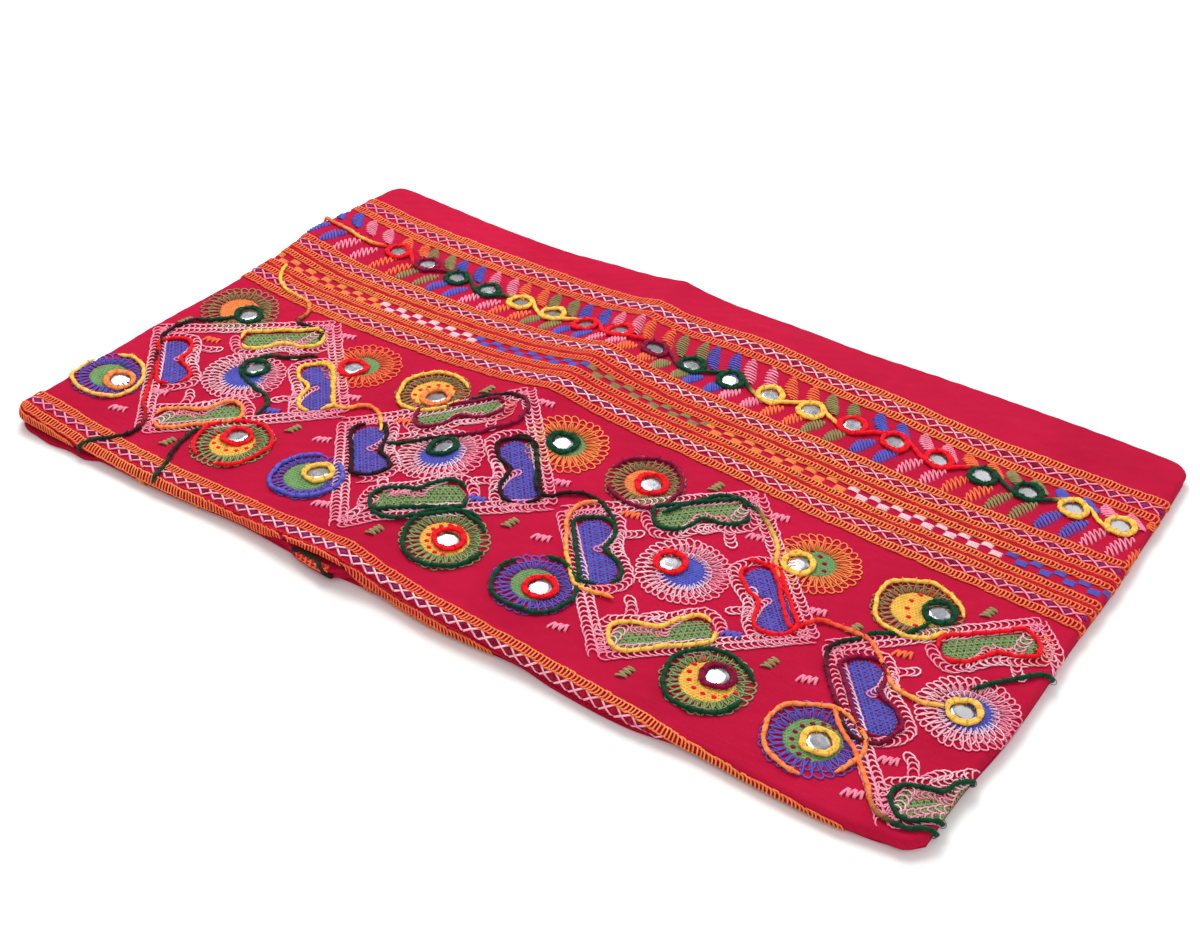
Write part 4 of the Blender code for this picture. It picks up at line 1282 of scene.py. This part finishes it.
def thread_piece(name, parts, material):
    """One piece of joined strands, with the length along each strand as its UV map and the dye
    as a colour attribute."""
    parts = [part for part in parts if len(part["points"])]
    offsets = running([len(part["points"]) for part in parts])
    corners = np.concatenate([part["corners"] + shift for part, shift in zip(parts, offsets)])
    sizes = np.concatenate([part["sizes"] for part in parts])
    points = np.concatenate([part["points"] for part in parts])
    piece = new_piece(name, points, corners, sizes, material)
    uv = piece.data.uv_layers.new(name="strand")
    uv.data.foreach_set("uv", np.concatenate([part["uv"] for part in parts]).astype(np.float32).ravel())
    dye = np.concatenate([part["dye"] for part in parts])
    dye = np.clip(np.column_stack([dye, np.ones(len(dye))]), 0, 1)
    layer = piece.data.color_attributes.new("dye", "FLOAT_COLOR", "POINT")
    layer.data.foreach_set("color", dye.astype(np.float32).ravel())
    return piece


def grid_parts(spacing_x, spacing_y):
    """Flat places of a grid over the cloth's rectangle, its faces and its boundary loop."""
    lines_x = np.linspace(0, GRID_LENGTH, int(GRID_LENGTH / spacing_x) + 1)
    lines_y = np.linspace(0, GRID_DEPTH, int(GRID_DEPTH / spacing_y) + 1)
    u, v = np.meshgrid(lines_x, lines_y, indexing="ij")
    index = np.arange(u.size).reshape(u.shape)
    faces = np.stack([index[:-1, :-1], index[1:, :-1], index[1:, 1:], index[:-1, 1:]], -1).reshape(-1, 4)
    loop = np.concatenate([index[:-1, 0], index[-1, :-1], index[:0:-1, -1], index[0, :0:-1]])
    return u.ravel(), v.ravel(), faces, loop


def ring_strip(first, second):
    """Faces between two closed rings that run the same way round."""
    return np.stack([first, second, np.roll(second, -1), np.roll(first, -1)], axis=-1)


def top_cloth(material):
    """Shown layer: the height function on a fine grid, then rings round the roll at its edge,
    and last the inner face just inside the lip, so that the lip has the cloth's thickness."""
    u, v, faces, loop = grid_parts(*SHOWN_GRID)
    points = [cloth_frame(u, v, np.zeros(len(u)))[0]]
    edge_u, edge_v = u[loop], v[loop]
    x, y, _, out_y, left, right = edge_shape(edge_u, edge_v)
    around = roll_sizes(x, cloth_height(x, y), out_y, left, right)[2]
    ends = left + right
    last = END_WRAP * ends + 1.0 * (1 - ends)
    rings, start = [loop], len(u)
    strips = [faces]
    shares = [(share, 0.0) for share in np.linspace(0.07, 1.0, 15)]
    shares += [(1.0, CLOTH), (0.8, CLOTH), (0.6, CLOTH)]
    for share, inside in shares:
        place, way = cloth_frame(edge_u, edge_v, np.maximum(around * last * share, 1e-7))
        points.append(place - way * inside)
        ring = np.arange(start, start + len(loop))
        strips.append(ring_strip(rings[-1], ring))
        rings.append(ring)
        start += len(loop)
    walls = np.concatenate(strips)
    piece = quad_piece("shown_cloth", np.concatenate(points), walls, material, "crimson_cotton")
    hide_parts("top_layer")
    return piece


def under_sides(edge_u, edge_v):
    """Plan places, outward ways and the four side shares round the boundary."""
    x, y, out_x, out_y, left, right = edge_shape(edge_u, edge_v)
    front = smooth_step(0.5, 0.95, np.maximum(-out_y, 0) ** 2)
    back = smooth_step(0.5, 0.95, np.maximum(out_y, 0) ** 2)
    return x, y, out_x, out_y, front, back, left, right


def layered_piece(name, node, spacing, material, slot, top_at, base_at, reach_at, profile):
    """Closed layered piece: a top grid, a bottom grid, and rings round its side whose distance
    out and level follow the profile rows (share of the height, distance in from the reach)."""
    u, v, faces, loop = grid_parts(*spacing)
    x, y = edge_shape(u, v)[:2]
    middle_x, middle_y = PACKET_MIDDLE
    top, base = top_at(x, y), base_at(x, y)
    points = [np.column_stack([x - middle_x, y - middle_y, top]),
              np.column_stack([x - middle_x, y - middle_y, base])]
    walls = [faces, faces[:, ::-1] + len(u)]
    sides = under_sides(u[loop], v[loop])
    reach = reach_at(*sides)
    ring, start = loop, 2 * len(u)
    for share, inward in profile:
        out = reach - inward
        level = base[loop] + share * (top - base)[loop]
        points.append(np.column_stack([sides[0] + sides[2] * out - middle_x,
                                       sides[1] + sides[3] * out - middle_y, level]))
        lower = np.arange(start, start + len(loop))
        walls.append(ring_strip(ring, lower))
        ring, start = lower, start + len(loop)
    walls.append(ring_strip(ring, loop + len(u)))
    piece = quad_piece(name, np.concatenate(points), np.concatenate(walls), material, slot)
    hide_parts(node)
    return piece


def pair_profile(depth, steps=8):
    """Side of two rounded layers one on the other: it stands out by the absolute sine of one whole
    wave over the height, and is drawn in by `depth` at its top, its seam and its base."""
    share = np.linspace(1, 0, 2 * steps + 1)
    bulge = np.abs(np.sin(2 * math.pi * share)) ** 0.6
    return [(float(s), float(depth * (1 - b))) for s, b in zip(share, bulge)]


def under_layers(material, painted_shade_inner_material):
    """The layers below the shown one: the inner folds, the second pair and the lowest pair. The inner
    folds wear the crimson cotton darkened, as painted shade under the shown layer.
    """
    second_base = PAIR_HEIGHT + SEAM_GAP
    third_base = 2 * second_base

    def middle_reach(x, y, _ox, _oy, front, back, _left, _right):
        show = eased(MIDDLE_SHOW["x"], MIDDLE_SHOW["reach"], x)
        return LAYER_REACH + show * front + MIDDLE_BACK_REACH * back

    def bottom_reach(x, y, _ox, _oy, front, back, _left, right):
        show = eased(BOTTOM_SHOW["x"], BOTTOM_SHOW["reach"], x)
        return LAYER_REACH + show * front + BOTTOM_BACK_REACH * back + BOTTOM_END_REACH * right

    # Inner folds in the darkened crimson cotton: painted shade under the shown layer's roll
    layered_piece(
        "inner_folds", "hidden_layers", INNER_GRID, painted_shade_inner_material, "inner_cotton",
        lambda x, y: PACKET_HEIGHT + lift(x, y) - INNER_DROP,
        lambda x, y: third_base + UNDER_LIFT * lift(x, y),
        lambda x, *rest: np.full(len(x), INNER_REACH),
        pair_profile(SEAM_DEPTH["inner"]))
    second = layered_piece(
        "second_fold", "middle_fold", FOLD_GRID, material, "crimson_cotton",
        lambda x, y: second_base + PAIR_HEIGHT + UNDER_LIFT * lift(x, y),
        lambda x, y: np.full(len(x), second_base),
        middle_reach, pair_profile(SEAM_DEPTH["second"]))
    lowest = layered_piece(
        "lowest_fold", "bottom_fold", FOLD_GRID, material, "crimson_cotton",
        lambda x, y: np.full(len(x), PAIR_HEIGHT),
        lambda x, y: np.zeros(len(x)),
        bottom_reach, pair_profile(SEAM_DEPTH["lowest"]))


def feed(tree, socket, value):
    """Set a socket to a value, or link it where the value is another node's output."""
    if isinstance(value, bpy.types.NodeSocket):
        tree.links.new(value, socket)
    else:
        socket.default_value = value


def node(tree, kind, **values):
    """New shader node. A name with a capital is one of its inputs, and the others are settings."""
    made = tree.nodes.new(kind)
    for key, value in values.items():
        if key[0].isupper():
            feed(tree, made.inputs[key.replace("_", " ")], value)
        else:
            setattr(made, key, value)
    return made


def two_tone(tree, by, low, high, places=(0.0, 1.0)):
    """Colour that goes from low to high as the driving value goes between two places."""
    ramp = node(tree, "ShaderNodeValToRGB", Fac=by)
    for stop, place, colour in zip(ramp.color_ramp.elements, places, (low, high)):
        stop.position = place
        stop.color = (*colour, 1.0)
    return ramp.outputs["Color"]


def coordinates(tree):
    """Place on the object, which lies where the packet's frame has it."""
    return node(tree, "ShaderNodeTexCoord").outputs["Object"]


def new_material(name, **values):
    """Principled material with its even values on its own sockets."""
    material = bpy.data.materials.new(name)
    material.use_nodes = True
    shader = material.node_tree.nodes["Principled BSDF"]
    for key, value in values.items():
        shader.inputs[key.replace("_", " ")].default_value = value
    return material, material.node_tree, shader


def textile(name, roughness, sheen, sheen_colour):
    """Cloth or thread: rough, hardly shiny, with a little sheen."""
    return new_material(name, Roughness=roughness, Specular_IOR_Level=0.05, Sheen_Weight=sheen,
                        Sheen_Roughness=0.45, Sheen_Tint=(*sheen_colour, 1.0))


def woven_cotton(name, dark, light):
    """Plain weave: warp and weft as two crossed waves in the bump, and slubs, uneven dye and
    faint streaks along the threads in the colour."""
    material, tree, shader = textile(name, 0.85, 0.03, (1.0, 0.30, 0.40))
    place = coordinates(tree)
    patches = node(tree, "ShaderNodeTexNoise", Vector=place, Scale=9.0, Detail=4.0, Roughness=0.6)
    stretch = node(tree, "ShaderNodeMapping", Vector=place, Scale=(60.0, 1400.0, 60.0))
    streaks = node(tree, "ShaderNodeTexNoise", Vector=stretch.outputs["Vector"], Scale=1.0, Detail=2.0)
    blend = node(tree, "ShaderNodeMix", data_type="FLOAT")
    for number, value in ((0, 0.35), (2, patches.outputs["Fac"]), (3, streaks.outputs["Fac"])):
        feed(tree, blend.inputs[number], value)
    feed(tree, shader.inputs["Base Color"], two_tone(tree, blend.outputs[0], dark, light, (0.25, 0.75)))
    crossed = node(tree, "ShaderNodeMath", operation="ADD")
    for number, direction in enumerate("XY"):
        yarns = node(tree, "ShaderNodeTexWave", bands_direction=direction, Vector=place, Scale=420.0,
                     Distortion=1.2)
        feed(tree, crossed.inputs[number], yarns.outputs["Fac"])
    bump = node(tree, "ShaderNodeBump", Strength=0.45, Distance=0.0005, Height=crossed.outputs["Value"])
    feed(tree, shader.inputs["Normal"], bump.outputs["Normal"])
    return material


def dyed_thread(name, ply_pitch, roughness):
    """Embroidery thread: the dye attribute, varied a little by noise, and slanted ply ridges from
    the strand's own UV map."""
    material, tree, shader = textile(name, roughness, 0.06, (1.0, 0.92, 0.88))
    dye = node(tree, "ShaderNodeAttribute", attribute_name="dye")
    mottle = node(tree, "ShaderNodeTexNoise", Vector=coordinates(tree), Scale=260.0, Detail=3.0)
    bright = node(tree, "ShaderNodeMapRange", Value=mottle.outputs["Fac"], To_Min=0.78, To_Max=1.22)
    toned = node(tree, "ShaderNodeVectorMath", operation="SCALE", Vector=dye.outputs["Color"],
                 Scale=bright.outputs["Result"])
    feed(tree, shader.inputs["Base Color"], toned.outputs["Vector"])
    strand = node(tree, "ShaderNodeUVMap", uv_map="strand")
    stretch = node(tree, "ShaderNodeMapping", Vector=strand.outputs["UV"], Scale=(1 / ply_pitch, 1.0, 1.0),
                   Rotation=(0.0, 0.0, math.radians(28)))
    plies = node(tree, "ShaderNodeTexWave", bands_direction="X", Vector=stretch.outputs["Vector"],
                 Scale=0.35, Distortion=0.6)
    bump = node(tree, "ShaderNodeBump", Strength=0.5, Distance=0.0004, Height=plies.outputs["Fac"])
    feed(tree, shader.inputs["Normal"], bump.outputs["Normal"])
    return material


def silvered_glass():
    """Hand silvered mirror: metallic, with faint clouds in its colour and its roughness."""
    material, tree, shader = new_material("silvered_glass", Metallic=0.9)
    clouds = node(tree, "ShaderNodeTexNoise", Vector=coordinates(tree), Scale=180.0, Detail=4.0)
    tint = two_tone(tree, clouds.outputs["Fac"], (0.23, 0.25, 0.30), (0.45, 0.44, 0.43))
    dull = node(tree, "ShaderNodeMapRange", Value=clouds.outputs["Fac"], To_Min=0.12, To_Max=0.32)
    feed(tree, shader.inputs["Base Color"], tint)
    feed(tree, shader.inputs["Roughness"], dull.outputs["Result"])
    return material


def studio():
    """Pale floor, pale world, one soft key light behind the left end and two weaker lights."""
    mesh = bpy.data.meshes.new("floor")
    corners = ((-1, -1), (1, -1), (1, 1), (-1, 1))
    mesh.from_pydata([(x * FLOOR_SIZE, y * FLOOR_SIZE, FLOOR_LEVEL) for x, y in corners], [],
                     [(0, 1, 2, 3)])
    paint, _, _ = new_material("pale_floor", Base_Color=(0.93, 0.93, 0.93, 1.0), Roughness=0.9)
    mesh.materials.append(paint)
    floor = bpy.data.objects.new("floor", mesh)
    bpy.context.collection.objects.link(floor)
    world = bpy.data.worlds.new("studio")
    world.use_nodes = True
    world.node_tree.nodes["Background"].inputs["Color"].default_value = (1.0, 1.0, 1.0, 1.0)
    world.node_tree.nodes["Background"].inputs["Strength"].default_value = SKY_STRENGTH
    bpy.context.scene.world = world
    for name, place, size, power in rows(LAMPS):
        lamp = bpy.data.lights.new(name, "AREA")
        lamp.size, lamp.energy = size, power
        light = bpy.data.objects.new(name, lamp)
        light.location = place
        light.rotation_euler = Vector(place).to_track_quat("Z", "Y").to_euler()
        bpy.context.collection.objects.link(light)


def camera():
    """Camera at the photograph's viewing angle."""
    data = bpy.data.cameras.new("camera")
    data.lens = CAMERA_LENS
    data.sensor_width = 36.0
    made = bpy.data.objects.new("camera", data)
    made.matrix_world = Matrix.Translation(CAMERA_PLACE) @ Matrix(CAMERA_TURN).to_4x4()
    bpy.context.collection.objects.link(made)
    bpy.context.scene.camera = made


camera()
cotton = woven_cotton("crimson_weave", (0.385, 0.0036, 0.030), (0.570, 0.0090, 0.052))
# Inner weave: the crimson cotton darkened, painted shade on the inner folds under the shown layer
inner_cotton = woven_cotton("inner_weave_painted_shade", (0.26, 0.004, 0.018), (0.34, 0.008, 0.028))
thread = dyed_thread("floss", 0.0011, 0.55)
cord_yarn = dyed_thread("cord_yarn", 0.0024, 0.60)
glass = silvered_glass()

top_cloth(cotton)
under_layers(cotton, inner_cotton)

round_loops, round_fills = rounds()
square_frames, square_fills, medallion_rays = squares()
thread_piece("ladder_rows", ladder_rows(), thread)
thread_piece("lattice_bands", lattice_bands(), thread)
thread_piece("brick_band", brick_band(), thread)
thread_piece("leaf_border", leaves(), thread)
thread_piece("round_loops", round_loops, thread)
thread_piece("round_fills", round_fills, thread)
thread_piece("square_frames", square_frames, thread)
thread_piece("bean_fills", square_fills, thread)
thread_piece("medallion_loops", medallion_rays, thread)
thread_piece("zigzag_marks", zigzag_marks(), thread)
thread_piece("couched_cords", cords(), cord_yarn)
thread_piece("border_cords", border_cords(), cord_yarn)
thread_piece("fold_round", fold_round(), thread)

mirrors = quad_piece("mirrors", *mirror_discs(), glass, "mirror_glass")
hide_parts(*[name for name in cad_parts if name.startswith("mirror_")])

studio()
bpy.context.scene.view_settings.view_transform = "Standard"
